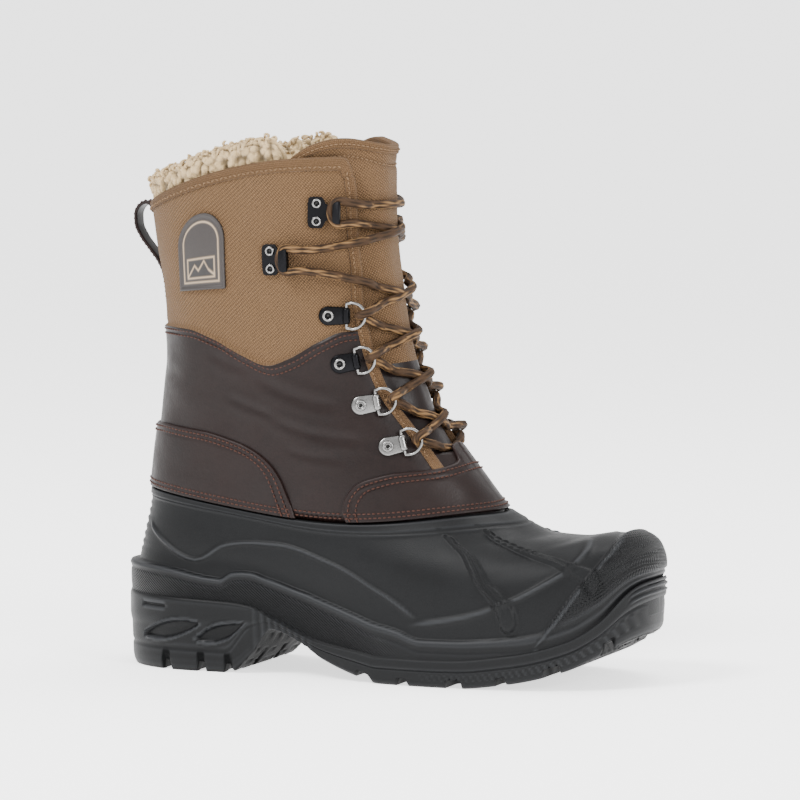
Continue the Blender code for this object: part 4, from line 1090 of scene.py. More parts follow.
def build_galosh():
    """The galosh: an outer grid with its relief, carried over the rim and down a plain inner side."""
    columns = 620
    turns = np.arange(columns)[None, :] / columns
    levels = np.concatenate([np.linspace(0, 0.90, 88), np.linspace(0.905, 1.0, 16)])[:, None]
    relief, dots, hatch, glow = galosh_relief(levels, turns)
    level_grid = np.broadcast_to(levels, relief.shape)
    turn_grid = np.broadcast_to(turns, relief.shape)
    outer = surface(level_grid, turn_grid, relief)
    low = smooth_step(0.10, 0.0, level_grid)[..., None]
    outer = outer * (1 - low) + (flat_ring(level_grid, turn_grid, relief) + SHIFT) * low
    inner_levels = np.array((1.0, 0.97, 0.85, 0.65, 0.45, 0.25, 0.08, 0.0))[:, None]
    inner_turns = np.broadcast_to(turns, (8, columns))
    inner_levels = np.broadcast_to(inner_levels, inner_turns.shape)
    inner = surface(inner_levels, inner_turns, -SHELL_WALL)
    inner[-1] = flat_ring(0.0, turns[0], np.full(columns, -SHELL_WALL)) + SHIFT
    points = np.concatenate([outer, inner])
    blank = np.zeros((8, columns))
    # edge is the share of the painted highlight on raised edges
    values = {"edge": glow, "dots": dots, "hatch": hatch}
    values = {key: np.concatenate([value, blank]) for key, value in values.items()}
    item = assembled("galosh", [points], [rubber()], values, True)
    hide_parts("rubber_galosh")


def sole_bottom(along):
    """Height of the underside, without the tread."""
    return looked_up(SOLE_SIDE, along, 2) * ARCH_HOLLOW + looked_up(SOLE_SIDE, along, 3) * TOE_SPRING


def tread(along, aside):
    """Depth of the tread from 0 to the lugs' depth: slanted cross grooves and two wandering long ones.

    aside is the place across the sole, -1 at the outer edge and 1 at the inner one.
    """
    slant = along + 0.012 * np.abs(aside) * np.where(along > 0.4, 1, -1)
    cut = np.zeros(np.broadcast_shapes(np.shape(along), np.shape(aside)))
    for place, width, share in TREAD_GROOVES:
        gap = np.abs(slant - place - 0.006) * SOLE_LENGTH
        cut = np.maximum(cut, share * smooth_step(width / 2 + 0.0005, width / 2 - 0.0004, gap))
    shank = window(0.25, 0.29, 0.46, 0.50, along)
    wander = 0.10 * np.sin(along * 62)
    for middle in (-0.36, 0.36):
        gap = np.abs(aside - middle - wander) * 0.045
        inside = window(0.03, 0.06, 0.94, 0.97, along)
        cut = np.maximum(cut, 0.85 * smooth_step(0.0022, 0.0014, gap) * inside)
    sipe = 0.28 * smooth_step(0.0005, 0.0002, np.abs(((slant * 52) % 1.0) - 0.5) / 52 * SOLE_LENGTH)
    inner_zone = smooth_step(0.92, 0.85, np.abs(aside))
    return sizes().lug_depth * np.maximum(cut * (1 - shank), sipe * inner_zone)


def leaf(along, rise, low_end, high_end, middle, half):
    """Distance share inside a pointed leaf: above 0 inside, 1 on its middle line."""
    run = np.clip((along - low_end) / (high_end - low_end), 0, 1)
    room = half * np.sin(np.pi * run) ** 0.75
    lean = middle + 0.22 * (run - 0.5)
    inside = 1 - np.abs(rise - lean) / np.maximum(room, 1e-4)
    return np.where((along > low_end) & (along < high_end), inside, -1.0)


def sole_relief(along, rise):
    """Distance of the sole's side off its outline: steps, heel insets, shank ribs, stripes and a groove."""
    keys = np.array((0.0, 0.06, 0.14, 0.50, 0.58, 0.64, 0.70, 0.96, 1.0))
    steps = np.array((-1.4, -0.2, 0.4, 0.9, 1.0, 1.6, 1.9, 1.9, 1.4)) / 1000
    relief = np.interp(rise, keys, steps)
    heel = smooth_step(0.282, 0.266, along)
    for low_end, high_end in ((0.076, 0.188), (0.180, 0.274)):
        inside = leaf(along, rise, low_end, high_end, 0.56, 0.135)
        relief = relief - 0.0026 * smooth_step(0.10, 0.34, inside) * heel
        relief = relief + 0.0014 * ridge(inside - 0.02, 0.11) * heel
    slot = window(0.076, 0.080, 0.122, 0.126, along)
    relief = relief - 0.0016 * slot * smooth_step(0.030, 0.018, np.abs(rise - 0.87))
    shank = window(0.285, 0.305, 0.395, 0.415, along)
    relief = relief + 0.0007 * np.sin(along * SOLE_LENGTH * 2 * np.pi / 0.0042) * shank
    band = window(0.60, 0.64, 0.95, 0.985, along) * window(0.20, 0.26, 0.46, 0.52, rise)
    stripes = np.sin((along * SOLE_LENGTH + rise * 0.008) * 2 * np.pi / 0.0036)
    relief = relief + 0.00045 * stripes * band
    toe_ribs = smooth_step(0.955, 0.965, along) * window(0.70, 0.76, 0.93, 0.97, rise)
    relief = relief + 0.0006 * np.sign(np.sin(rise * 60)) * toe_ribs
    line_rise = 0.31 + 0.29 * smooth_step(0.235, 0.290, along)
    line = ridge((rise - line_rise) * 0.030, 0.0008) * (1 - shank)
    return relief - 0.0007 * line


def build_outsole():
    """The sole: a side grid with its relief, closed under and over by grids that run straight across it."""
    columns = 640
    turns = np.arange(columns) / columns
    base = bare_surface(0.0, turns)
    along = sole_share(base[:, 0])
    side = np.where(turns < 0.5, -1.0, 1.0)
    band = looked_up(BAND_LINE, along, 2)
    top = base[:, 2] + 0.0002 + 0.0016 * smooth_step(0.62, 0.80, along)
    bottom = sole_bottom(along)
    rises = np.linspace(0, 1, 44)[:, None]
    relief = sole_relief(along[None, :], rises)
    edge = tread(along, side) * smooth_step(0.0, 0.02, np.minimum(along, 1 - along))
    rows = []
    lifts = edge[None, :] * smooth_step(0.34, 0.0, rises)
    for rise, off, lift in zip(rises[:, 0], relief, lifts):
        ring = flat_ring(0.0, turns, off + band * 0.8)
        ring[:, 2] = bottom + (top - bottom) * rise + lift
        rows.append(ring)
    wall = np.array(rows)
    half = columns // 2

    def across(ring, count, height):
        """Grid from the ring's outer side straight over to its inner side, with a height of its own."""
        first = ring[:half + 1]
        second = ring[np.r_[0, columns - 1:half - 1:-1]]
        share = np.linspace(0, 1, count)[:, None, None]
        grid = first * (1 - share) + second * share
        grid[1:-1, 1:-1, 2] = height(grid, share[:, 0])[1:-1, 1:-1]
        return grid

    def underside(grid, share):
        place = sole_share(grid[..., 0])
        return sole_bottom(place) + tread(place, 2 * share - 1)

    def bed(grid, share):
        inside = smooth_step(0.0, 0.10, np.minimum(share, 1 - share))
        place = sole_share(grid[..., 0])
        high = looked_up(SOLE_SIDE, place, 4) * HEEL_LIFT
        return grid[..., 2] * (1 - inside) + high * inside

    floor_grid = across(wall[0], 60, underside)
    bed_grid = across(wall[-1], 24, bed)
    # in_grooves and the whole underside set under, the rubber's painted shade
    in_grooves = smooth_step(0.0, 0.3, lifts / sizes().lug_depth)
    # the sole's relief gets the same painted edge highlight, kept out of the grooves
    parts = [(wall, True, False, painted_edge_highlight(relief) * (1 - in_grooves), in_grooves),
             (floor_grid, False, True, np.zeros(floor_grid.shape[:2]), np.ones(floor_grid.shape[:2])),
             (bed_grid, False, False, np.zeros(bed_grid.shape[:2]), np.zeros(bed_grid.shape[:2]))]
    points = []
    faces = []
    loops = []
    glows = []
    start = 0
    unders = []
    for grid, wrap, flip, shine, under in parts:
        quads, flat = grid_quads(*grid.shape[:2], False, wrap)
        uv = arc_uv(grid, False, wrap)
        if not wrap:
            uv = np.concatenate([uv, uv[:, -1:]], axis=1)
        uv = uv.reshape(-1, 2)[flat]
        if flip:
            quads = quads[:, ::-1]
            uv = uv[:, ::-1]
        faces.append(quads + start)
        loops.append(uv.reshape(-1, 2))
        points.append(grid.reshape(-1, 3) + SHIFT)
        glows.append(shine.ravel())
        unders.append(under.ravel())
        start += len(points[-1])
    values = {"edge": np.concatenate(glows), "under": np.concatenate(unders)}
    item = new_piece("sole", np.concatenate(points), np.concatenate(faces).tolist(), [rubber()],
                     np.concatenate(loops), None, values)
    close_seams(item)
    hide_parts("outsole")


def close_seams(item):
    """Merge the points that neighbouring grids share, and turn every face outwards."""
    shape = bmesh.new()
    shape.from_mesh(item.data)
    bmesh.ops.remove_doubles(shape, verts=shape.verts, dist=0.00002)
    bmesh.ops.recalc_face_normals(shape, faces=shape.faces)
    if shape.calc_volume(signed=True) < 0:
        bmesh.ops.reverse_faces(shape, faces=shape.faces)
    shape.to_mesh(item.data)
    shape.free()
    item.data.shade_smooth()


def build_insole():
    """The insole keeps its CAD solid and takes the felt."""
    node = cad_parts["insole"]
    node.data.materials.clear()
    node.data.materials.append(felt())


# Shaft

# Creases put in one by one. Columns: depth share, half width, and the line's points as level, way.
CREASES = (
    (1.0, 0.0024, ((1.435, 0.46), (1.390, 0.54), (1.362, 0.62), (1.356, 0.69))),
    (0.9, 0.0021, ((1.315, 0.48), (1.275, 0.57), (1.258, 0.65), (1.252, 0.72))),
    (0.7, 0.0019, ((1.365, 0.38), (1.338, 0.45), (1.312, 0.52))),
    (0.6, 0.0021, ((1.500, 0.34), (1.462, 0.41), (1.445, 0.47))),
    (0.6, 0.0018, ((1.222, 0.50), (1.203, 0.57), (1.197, 0.64))),
    (0.5, 0.0030, ((1.450, 0.08), (1.420, 0.17), (1.412, 0.26))),
    (0.7, 0.0034, ((1.655, 0.46), (1.632, 0.56), (1.640, 0.66))),
    (0.5, 0.0034, ((1.815, 0.48), (1.790, 0.58), (1.800, 0.66))),
    (0.4, 0.0034, ((1.660, 0.10), (1.640, 0.18), (1.648, 0.26))),
)


def shaft_off(level, turn):
    """The shell's face off the surface: the leather step, the listed creases and a slow unevenness."""
    way = way_of(turn)
    off = -nylon_drop(level, way)
    for share, width, points in CREASES:
        gap, place = line_distance(level, way, smooth_line(points, 14), SHAFT_LEVEL, SHAFT_WAY)
        depth = sizes().crease_depth * share * window(0.0, 0.25, 0.70, 1.0, place)
        off = off - depth * ridge(gap, width) + 0.5 * depth * ridge(gap - 2.2 * width, 1.2 * width)
    seam = (level - leather_level(way)) * SHAFT_LEVEL
    off = off + 0.0005 * ridge(seam + 0.0012, 0.0011) - 0.0004 * ridge(seam - 0.0012, 0.0010)
    side = np.where(np.asarray(turn) % 1.0 < 0.5, 3.0, 9.0)
    return off + 0.0004 * soft_noise(way * 11 + side, level * 9 + side, 5) * smooth_step(1.02, 1.10, level)


def collar_drop(way):
    """How far the collar's edge falls where it turns into a facing: a quarter of an ellipse."""
    share = np.clip((np.abs(way) - THROAT_EDGE[-1, 1] + COLLAR_BEND) / COLLAR_BEND, 0, 1)
    return COLLAR_CORNER * (1 - np.sqrt(1 - share * share))


def build_upper():
    """The shaft's shell: leather below its line and nylon above, felt inside, open at collar and throat."""
    side_columns = 130
    front = np.linspace(0, 1, 17)[None, 1:-1]
    share = np.linspace(0, 1, side_columns)[None, :]
    nominal = np.concatenate([share, np.ones_like(front), share[:, :0:-1]], axis=1) * THROAT_EDGE[-1, 1]
    line = leather_level(nominal)
    top = 2.0 - collar_drop(nominal)
    tucked = np.broadcast_to(np.array((0.90, 1.004, 1.018))[:, None], (3, nominal.shape[1]))
    leather_rows = 1.035 + (line - 0.006 - 1.035) * np.linspace(0, 1, 64)[:, None]
    seam_rows = line + np.array((-0.003, 0.003))[:, None]
    nylon_rows = line + 0.006 + (top - line - 0.006) * np.linspace(0, 1, 58)[:, None]
    levels = np.concatenate([tucked, leather_rows, seam_rows, nylon_rows])
    edge = throat_way(levels[:, :1])
    outer_turn = share * edge / 2
    front_turn = edge / 2 + front * (1 - edge)
    inner_turn = 1 - share[:, :0:-1] * edge / 2
    turns = np.concatenate([outer_turn, front_turn, inner_turn], axis=1)
    off = shaft_off(levels, turns)
    off[:2] = -(SHELL_WALL + TUCK_GAP)
    off[2] -= 0.0006
    middle = (levels[1:] + levels[:-1]) / 2
    keep = np.ones((levels.shape[0] - 1, levels.shape[1]), bool)
    open_cells = slice(side_columns - 1, side_columns - 1 + front.shape[1] + 1)
    keep[:, open_cells] = middle[:, open_cells] < THROAT_LEVEL
    zone = (np.broadcast_to(np.arange(len(keep))[:, None], keep.shape) >= 67).astype(int)
    item = shell("shaft", surface(levels, turns, off), surface(levels, turns, off - UPPER_WALL),
                 [leather(), nylon(), felt()], True, keep, {"worn": off * 0}, zone, 2)
    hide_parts("upper")


def overlay(name, node, turns, table, end_way):
    """A leather plate over the shaft: its top edge follows a table, and all its edges are rolled."""
    way = way_of(turns)[None, :]
    top = looked_up(table, way)
    rim = np.array((0.0024, 0.0018, 0.0012, 0.0007, 0.0003, 0.0)) / SHAFT_LEVEL
    body = np.linspace(0, 1, 30)[:, None]
    levels = np.concatenate([OVERLAY_FOOT + (top - rim[0] - OVERLAY_FOOT) * body[:-1], top - rim[:, None]])
    levels = np.maximum(levels, OVERLAY_FOOT)
    turn_grid = np.broadcast_to(turns[None, :], levels.shape)
    reach = np.minimum((top - levels) * SHAFT_LEVEL, np.abs(way - end_way) * SHAFT_WAY)
    roll = np.clip(reach / 0.0013, 0, 1)
    swell = np.sqrt(1 - (1 - roll) ** 2)
    under = shaft_off(levels, turn_grid)
    outer = under + OVERLAY_GAP + OVERLAY_THICK * (0.12 + 0.88 * swell)
    for number in (0, 1):
        inset = sizes().seam_inset + number * sizes().row_gap
        outer = outer - 0.00030 * ridge(reach - inset, 0.0006)
    # painted highlight along the plate's rolled edges
    worn = 0.45 * ridge(reach - 0.0005, 0.0006)
    item = shell(name, surface(levels, turn_grid, outer), surface(levels, turn_grid, under + 0.0001),
                 [leather()], False, None, {"worn": worn})
    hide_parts(node)


def build_overlays():
    """The vamp's saddle and the heel's counter."""
    saddle = SADDLE_TOP[0, 0]
    counter = COUNTER_TOP[-1, 0]
    overlay("saddle", "vamp_saddle", np.linspace(saddle / 2, 1 - saddle / 2, 260), SADDLE_TOP, saddle)
    overlay("counter", "heel_counter", np.linspace(-counter / 2, counter / 2, 260), COUNTER_TOP, counter)


BAND_PROFILE = (
    (1.00, 0.15), (0.98, 0.60), (0.90, 0.95), (0.74, 1.00), (0.62, 0.90), (0.50, 0.82), (0.38, 0.90),
    (0.22, 1.02), (0.06, 1.05), (-0.10, 0.80), (-0.20, 0.20),
)


def rolled_band(name, place, width, thick, wall, node=None):
    """Tape folded over an edge. place turns distances in from it and heights off the face into points."""
    outside = np.array(BAND_PROFILE)
    inside = outside[::-1]
    inward = np.concatenate([outside[:, 0], inside[:, 0] * 0.9]) * width
    height = np.concatenate([outside[:, 1] * thick, -wall - inside[:, 1] * thick])
    grid = place(inward, height)
    item = assembled(name, [grid], [binding_tape()], {"worn": np.zeros(grid.shape[:2])})
    if node:
        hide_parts(node)


TAPE_WIDTH = 0.0045
TAPE_THICK = 0.0011
FACING_WIDER = 1.4          # the facings' tape against the collar's
TAPE_SEAM = 0.0032          # the tapes' seam inside their edge
TONGUE_TAPE_WIDTH = 0.0046
TONGUE_TAPE_THICK = 0.0010
TONGUE_FOOT = 1.10          # levels where the tongue begins and where its leather ends
TONGUE_SPLIT = 1.47
TONGUE_SEAM = 0.0090        # the seam of the tongue's top roll below its edge


def build_binding():
    """Tape round the collar and down both facings: one rolled band along their edge."""
    facing = np.linspace(1.145, 2.0 - COLLAR_CORNER, 90)
    angle = np.radians(np.linspace(0, 90, 16))[1:-1]
    corner = THROAT_EDGE[-1, 1] - COLLAR_BEND
    bend = corner + COLLAR_BEND * np.cos(angle)
    way = np.concatenate([throat_way(facing), bend, np.linspace(corner, 0, 120)])
    level = np.concatenate([facing, 2.0 - COLLAR_CORNER * (1 - np.sin(angle)), np.full(120, 2.0)])
    bearing = np.concatenate([facing * 0, angle, np.full(120, np.pi / 2)])
    level = np.concatenate([level, level[-2::-1]])[:, None]
    signed = np.concatenate([-way, way[-2::-1]])[:, None]
    bearing = np.concatenate([bearing, bearing[-2::-1]])[:, None]
    sense = np.where(signed > 0, -1.0, 1.0)

    def place(inward, height):
        at_level = level - np.sin(bearing) * inward / ABOVE_COLLAR
        at_way = signed + sense * np.cos(bearing) * FACING_WIDER * inward / SHAFT_WAY
        off = height - nylon_drop(at_level, np.abs(at_way))
        return surface(at_level, -at_way / 2, off)

    rolled_band("collar_tape", place, TAPE_WIDTH, TAPE_THICK, UPPER_WALL, "collar_binding")


def tongue_turn(level, across):
    """Turn of a place on the tongue: it is narrower at its root."""
    edge = TONGUE_WAY + (1 - TONGUE_WAY) * 0.30 * (1 - smooth_step(1.1, 1.9, level))
    return 0.5 + across * (1 - edge) / 2


def tongue_off(level, across):
    """The tongue's outer face off the surface: tucked under the facings, swelling out between them."""
    swell = TONGUE_SWELL + TONGUE_PUFF * smooth_step(1.6, 2.0, level)
    middle = smooth_step(0.58, 0.95, 1 - np.abs(across))
    return -(LEATHER_STEP + UPPER_WALL + TUCK_GAP) + swell * middle * smooth_step(1.22, 1.40, level)


def tongue_top(across):
    """Level of the tongue's top edge."""
    rise = (TONGUE_HEIGHT - FRONT_HEIGHT) / ABOVE_COLLAR * (1 - np.abs(across) ** 5)
    return 2 + rise - 0.032 * bell(across, 0.0, 0.34)


def build_tongue():
    """The padded tongue: nylon above, leather below, a sewn roll and a tape along its top."""
    across = np.linspace(-1, 1, 90)[None, :]
    top = tongue_top(across)
    low_rows = TONGUE_FOOT + (TONGUE_SPLIT - TONGUE_FOOT) * np.linspace(0, 1, 40)[:, None]
    high_rows = TONGUE_SPLIT + (top - TONGUE_SPLIT) * np.linspace(0, 1, 84)[1:, None]
    levels = np.concatenate([low_rows + across * 0, high_rows])
    places = across + levels * 0
    off = tongue_off(levels, places)
    down = (top - levels) * ABOVE_COLLAR
    off = off - 0.0010 * ridge(down - TONGUE_SEAM, 0.0012)
    off = off + 0.0004 * soft_noise(places * 4, levels * 16, 8)
    edge = np.sqrt(1 - (1 - np.clip(down / 0.003, 0, 1)) ** 2)
    thick = TONGUE_THICK * (0.45 + 0.55 * edge)
    turns = tongue_turn(levels, places)
    zone = np.zeros((levels.shape[0] - 1, levels.shape[1] - 1), int)
    zone[len(low_rows) - 1:] = 1
    # the point value paints shade into the seam's groove below the tongue's top roll
    item = shell("tongue_pad", surface(levels, turns, off - (TONGUE_THICK - thick) / 2),
                 surface(levels, turns, off - thick), [leather(), nylon(), felt()], False, None,
                 {"worn": 0.5 * ridge(down - TONGUE_SEAM, 0.0008)}, zone, 2)
    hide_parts("tongue")
    edge_places = np.linspace(0.995, -0.995, 120)[:, None]

    def place(inward, height):
        at_level = tongue_top(edge_places) - inward / ABOVE_COLLAR
        at_place = edge_places + 0 * at_level
        return surface(at_level, tongue_turn(at_level, at_place), tongue_off(at_level, at_place) + height)

    rolled_band("tongue_tape", place, TONGUE_TAPE_WIDTH, TONGUE_TAPE_THICK, TONGUE_THICK * 0.8)


def fleece_grid():
    """Points of the fleece's roll before its curls, with their distances round and along it."""
    ways = np.linspace(-FLEECE_WAY, FLEECE_WAY, 520)[:, None]
    angle = 2 * np.pi * np.arange(120)[None, :] / 120
    end = np.clip((np.abs(ways) - FLEECE_WAY + 0.05) / 0.05, 0, 1)
    taper = np.sqrt(np.maximum(1 - end ** 2.4, 0.002))
    tall = (FLEECE_DEPTH + FLEECE_RISE) / 2
    lift = tall * signed_power(np.sin(angle), 0.8) * taper
    high = (FLEECE_RISE - FLEECE_DEPTH) / 2 + lift
    round_out = signed_power(np.cos(angle), 0.7)
    inset = LEATHER_STEP + UPPER_WALL + TUCK_GAP + FLEECE_THICK / 2
    lean = FLEECE_LEAN * smooth_step(-0.002, 0.011, high)
    off = -inset + FLEECE_THICK / 2 * round_out * taper + lean
    level = 2.0 + high / ABOVE_COLLAR
    return surface(level, -ways / 2, off), ways * SHAFT_WAY, angle * (tall + FLEECE_THICK) / 3.2


def build_fleece():
    """The fleece roll: a closed ring of pile raised into curls, with loose curled locks over it."""
    base, along, around = fleece_grid()
    size = sizes().curl_size
    out = grid_normals(base)
    gap, number = cells((along + 0 * around) / size, (around + 0 * along) / size, 3)
    small, _ = cells(along / size * 2.1 + 7, around / size * 2.1, 9)
    knob = np.sqrt(np.clip(1 - (gap / 0.64) ** 2, 0, 1))
    rise = 0.0026 * knob * (0.6 + 0.7 * number) + 0.0016 * (0.6 - small) - 0.0016
    rise = rise + 0.0008 * soft_noise(along / 0.017 + 3, around / 0.017, 4)
    inner = (2 * np.pi * np.arange(base.shape[1]) / base.shape[1] > 3.5)[None, :]
    rise = np.where(inner, rise * 0.8, rise)
    # painted shade between the curls, away from their middles
    deep = np.clip(2.2 * (gap - 0.36), 0, 1)
    item = assembled("fleece_roll", [base + out * rise[..., None]], [fleece()], {"deep": deep})
    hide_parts("fleece_collar")
    build_locks(base, out, rise)


def build_locks(base, out, rise):
    """Loose locks: each a short thin tube curled up on the roll, from a random place of its upper part."""
    chance = np.random.default_rng(11)
    count = 700
    rows = chance.integers(14, base.shape[0] - 14, count)
    columns = chance.integers(20, 58, count)
    foot = base[rows, columns] + out[rows, columns] * (rise[rows, columns, None] - 0.0006)
    normal = out[rows, columns]
    first = unit(np.cross(normal, chance.normal(size=(count, 3))))
    second = np.cross(normal, first)
    steps = np.linspace(0, 1, 7)[None, :, None]
    radius = chance.uniform(0.0012, 0.0022, (count, 1, 1))
    curl = steps * chance.uniform(3.0, 5.0, (count, 1, 1))
    line = foot[:, None] + normal[:, None] * (radius * 0.5 * (1 - np.cos(curl)) + 0.0004 * steps)
    line = line + first[:, None] * radius * np.sin(curl) + second[:, None] * radius * 0.8 * steps
    run = unit(np.gradient(line, axis=1))
    aside = unit(np.cross(second[:, None], run))
    over = np.cross(run, aside)
    angle = (2 * np.pi * np.arange(5) / 5)[None, None, :, None]
    thick = 0.00090 * np.sqrt(1.02 - (2 * steps - 1) ** 2)[..., None]
    tubes = line[:, :, None] + thick * (np.cos(angle) * aside[:, :, None] + np.sin(angle) * over[:, :, None])
    quads, _ = grid_quads(7, 5, False, True)
    start = (np.arange(count) * 35)[:, None, None]
    faces = (quads[None] + start).reshape(-1, 4).tolist()
    ring = np.arange(5)
    faces += (ring[::-1][None] + start[:, 0]).tolist() + (ring[None] + 30 + start[:, 0]).tolist()
    # painted shade at each lock's root, fading towards its tip
    item = new_piece("fleece_locks", tubes.reshape(-1, 3), faces, [fleece()], None, None,
                     {"deep": np.tile(np.repeat(np.linspace(0.35, 0.0, 7), 5), count)})


def loop_line():
    """Middle line of the pull loop's strap and its outward directions."""
    keys = np.arange(len(LOOP_PATH))
    fine = np.linspace(0, keys[-1], 130)
    levels = monotone(keys, LOOP_PATH[:, 0], fine)
    line = surface(levels, np.zeros_like(levels), monotone(keys, LOOP_PATH[:, 1], fine))
    run = np.gradient(line, axis=0)
    return line, unit(np.stack([-run[:, 2], np.zeros(len(line)), run[:, 0]], axis=-1))


def build_loop():
    """The pull loop: a leather strap with rounded edges swept along its path."""
    line, normal = loop_line()
    angle = 2 * np.pi * np.arange(20) / 20
    wide = LOOP_HALF * signed_power(np.cos(angle), 0.25)
    tall = 0.0010 + 0.0010 * signed_power(np.sin(angle), 0.5)
    sideways = np.array((0.0, 1.0, 0.0)) * wide[None, :, None]
    grid = line[:, None] + normal[:, None] * tall[None, :, None] + sideways
    # painted highlight along the strap's two edges
    worn = np.broadcast_to(0.4 * np.abs(np.cos(angle)) ** 6, grid.shape[:2])
    item = assembled("heel_strap", [grid], [leather()], {"worn": worn})
    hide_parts("pull_loop")


def way_at_x(level, x):
    """Way at which the ring of a level has the given x."""
    back = looked_up(SECTIONS, level, 1)
    front = looked_up(SECTIONS, level, 2)
    return np.arccos(np.clip(1 - 2 * (x - back) / (front - back), -1, 1)) / np.pi


def badge_paint():
    """Embossed patch: brown ground, and light lines where the piece's point value says so."""
    paint = Paint("badge_patch", 0.5)
    base = tuple(colours().badge)
    ground = paint.blend(paint.noise(300, 4, 0.6), darker(base, 0.75), darker(base, 1.3))
    ground = paint.blend(paint.value_of("hollow"), ground, darker(base, 0.45))
    paint.colour(paint.blend(paint.value_of("light"), ground, tuple(colours().cream)))
    paint.bump(paint.noise(1500, 3, 0.6), 0.0002, 0.4)
    return paint.material


def build_badge():
    """The sewn patch: arched plate with a raised rim, an arch line, a box line and a plain ridge of hills."""
    low, high = BADGE_LEVELS
    rise = np.sin(np.linspace(0, 1, 130) * np.pi / 2 * 0.985)[:, None]
    aside = np.linspace(-1, 1, 130)[None, :]
    straight = 0.62
    bend = np.clip((rise - straight) / (1 - straight), 0, 0.9995)
    half = np.sqrt(1 - bend ** 2)
    levels = low + (high - low) * rise + 0 * aside
    middle = along_sole(0) + SHAFT_BACK + BADGE_SHARE * SHAFT_DEPTH
    tall = (high - low) * ABOVE_COLLAR
    x = aside * half * BADGE_HALF
    z = rise * tall + 0 * x
    top = (z / tall - straight) / (1 - straight)
    reach = np.hypot(x / BADGE_HALF, top)
    steep = np.clip(top / np.maximum(reach, 0.01), 0, 1) ** 2
    curved = (1 - reach) * (BADGE_HALF * (1 - steep) + (1 - straight) * tall * steep)
    inside = np.where(z < straight * tall, BADGE_HALF - np.abs(x), curved)
    inside = np.minimum(inside, z)
    arch = ridge(inside - 0.0036, 0.00042)
    box = np.maximum(np.abs(x) - 0.0086, np.abs(z - 0.0098) - 0.0042)
    box_line = ridge(box, 0.00040) * smooth_step(0.0005, 0.0012, inside)
    hills = np.interp(x, (-0.0080, -0.0040, -0.0016, 0.0022, 0.0048, 0.0080),
                      (0.0066, 0.0112, 0.0088, 0.0128, 0.0090, 0.0068))
    hill_line = ridge((z - hills) * 0.8, 0.00045) * smooth_step(0.0002, -0.0006, box)
    light = np.clip(arch + box_line + hill_line, 0, 1)
    off = OVERLAY_GAP - LEATHER_STEP + 0.0009 + 0.0006 * smooth_step(0.0020, 0.0008, inside)
    off = off * smooth_step(0.0, 0.0005, inside + 0.0003) + 0.0003 * light
    turns = way_at_x(levels, x + middle) / 2
    under = -LEATHER_STEP + 0.0001 + 0 * off
    values = {"light": light, "hollow": smooth_step(0.0, -0.0006, box) * (1 - light)}
    item = shell("patch", surface(levels, turns, off), surface(levels, turns, under),
                 [kept("badge_patch", badge_paint)], False, None, values)
    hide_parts("badge")


# Hardware and lace


def frame_at(level, way, side, towards_level, towards_way):
    """Place on the surface, directions to another place, across and outwards, and the distance to it."""
    turn = float(side_turn(way, side))
    place = surface(level, turn, 0.0)
    out = outward(level, turn)
    ahead = surface(towards_level, float(side_turn(towards_way, side)), 0.0) - place
    reach = np.linalg.norm(ahead)
    ahead = unit(ahead - out * (ahead @ out))
    return place, ahead, np.cross(out, ahead), out, reach


def local(place, ahead, across, out):
    """Points given along a place's own three directions."""
    parts = [np.asarray(item, float)[..., None] for item in np.broadcast_arrays(ahead, across, out)]
    return place[0] + parts[0] * place[1] + parts[1] * place[2] + parts[2] * place[3]


# painted shade at a rivet's foot and in its dimple, ring by ring
DOME_PAINTED_SHADE = (1.0, 0.6, 0.0, 0.0, 0.0, 0.8, 1.0, 0.9)     # dark foot and dimple of a rivet, ring by ring


def dome(place, ahead, across, foot, radius, rise):
    """Rivet's head: rings of a low dome with a dimple in its middle."""
    angle = 2 * np.pi * np.arange(DOME_POINTS)[None, :] / DOME_POINTS
    profile = np.array(((1.0, 0.0), (1.0, 0.45), (0.92, 0.80), (0.78, 1.0), (0.62, 0.90), (0.52, 0.45),
                        (0.46, 0.05), (0.05, 0.04)))
    ring = profile[:, :1] * radius
    height = foot + profile[:, 1:] * rise
    return local(place, ahead + ring * np.cos(angle), across + ring * np.sin(angle), height)


def foot_height(level, way):
    """Height of the shell under a piece of hardware."""
    return 0.0002 - float(nylon_drop(level, way))


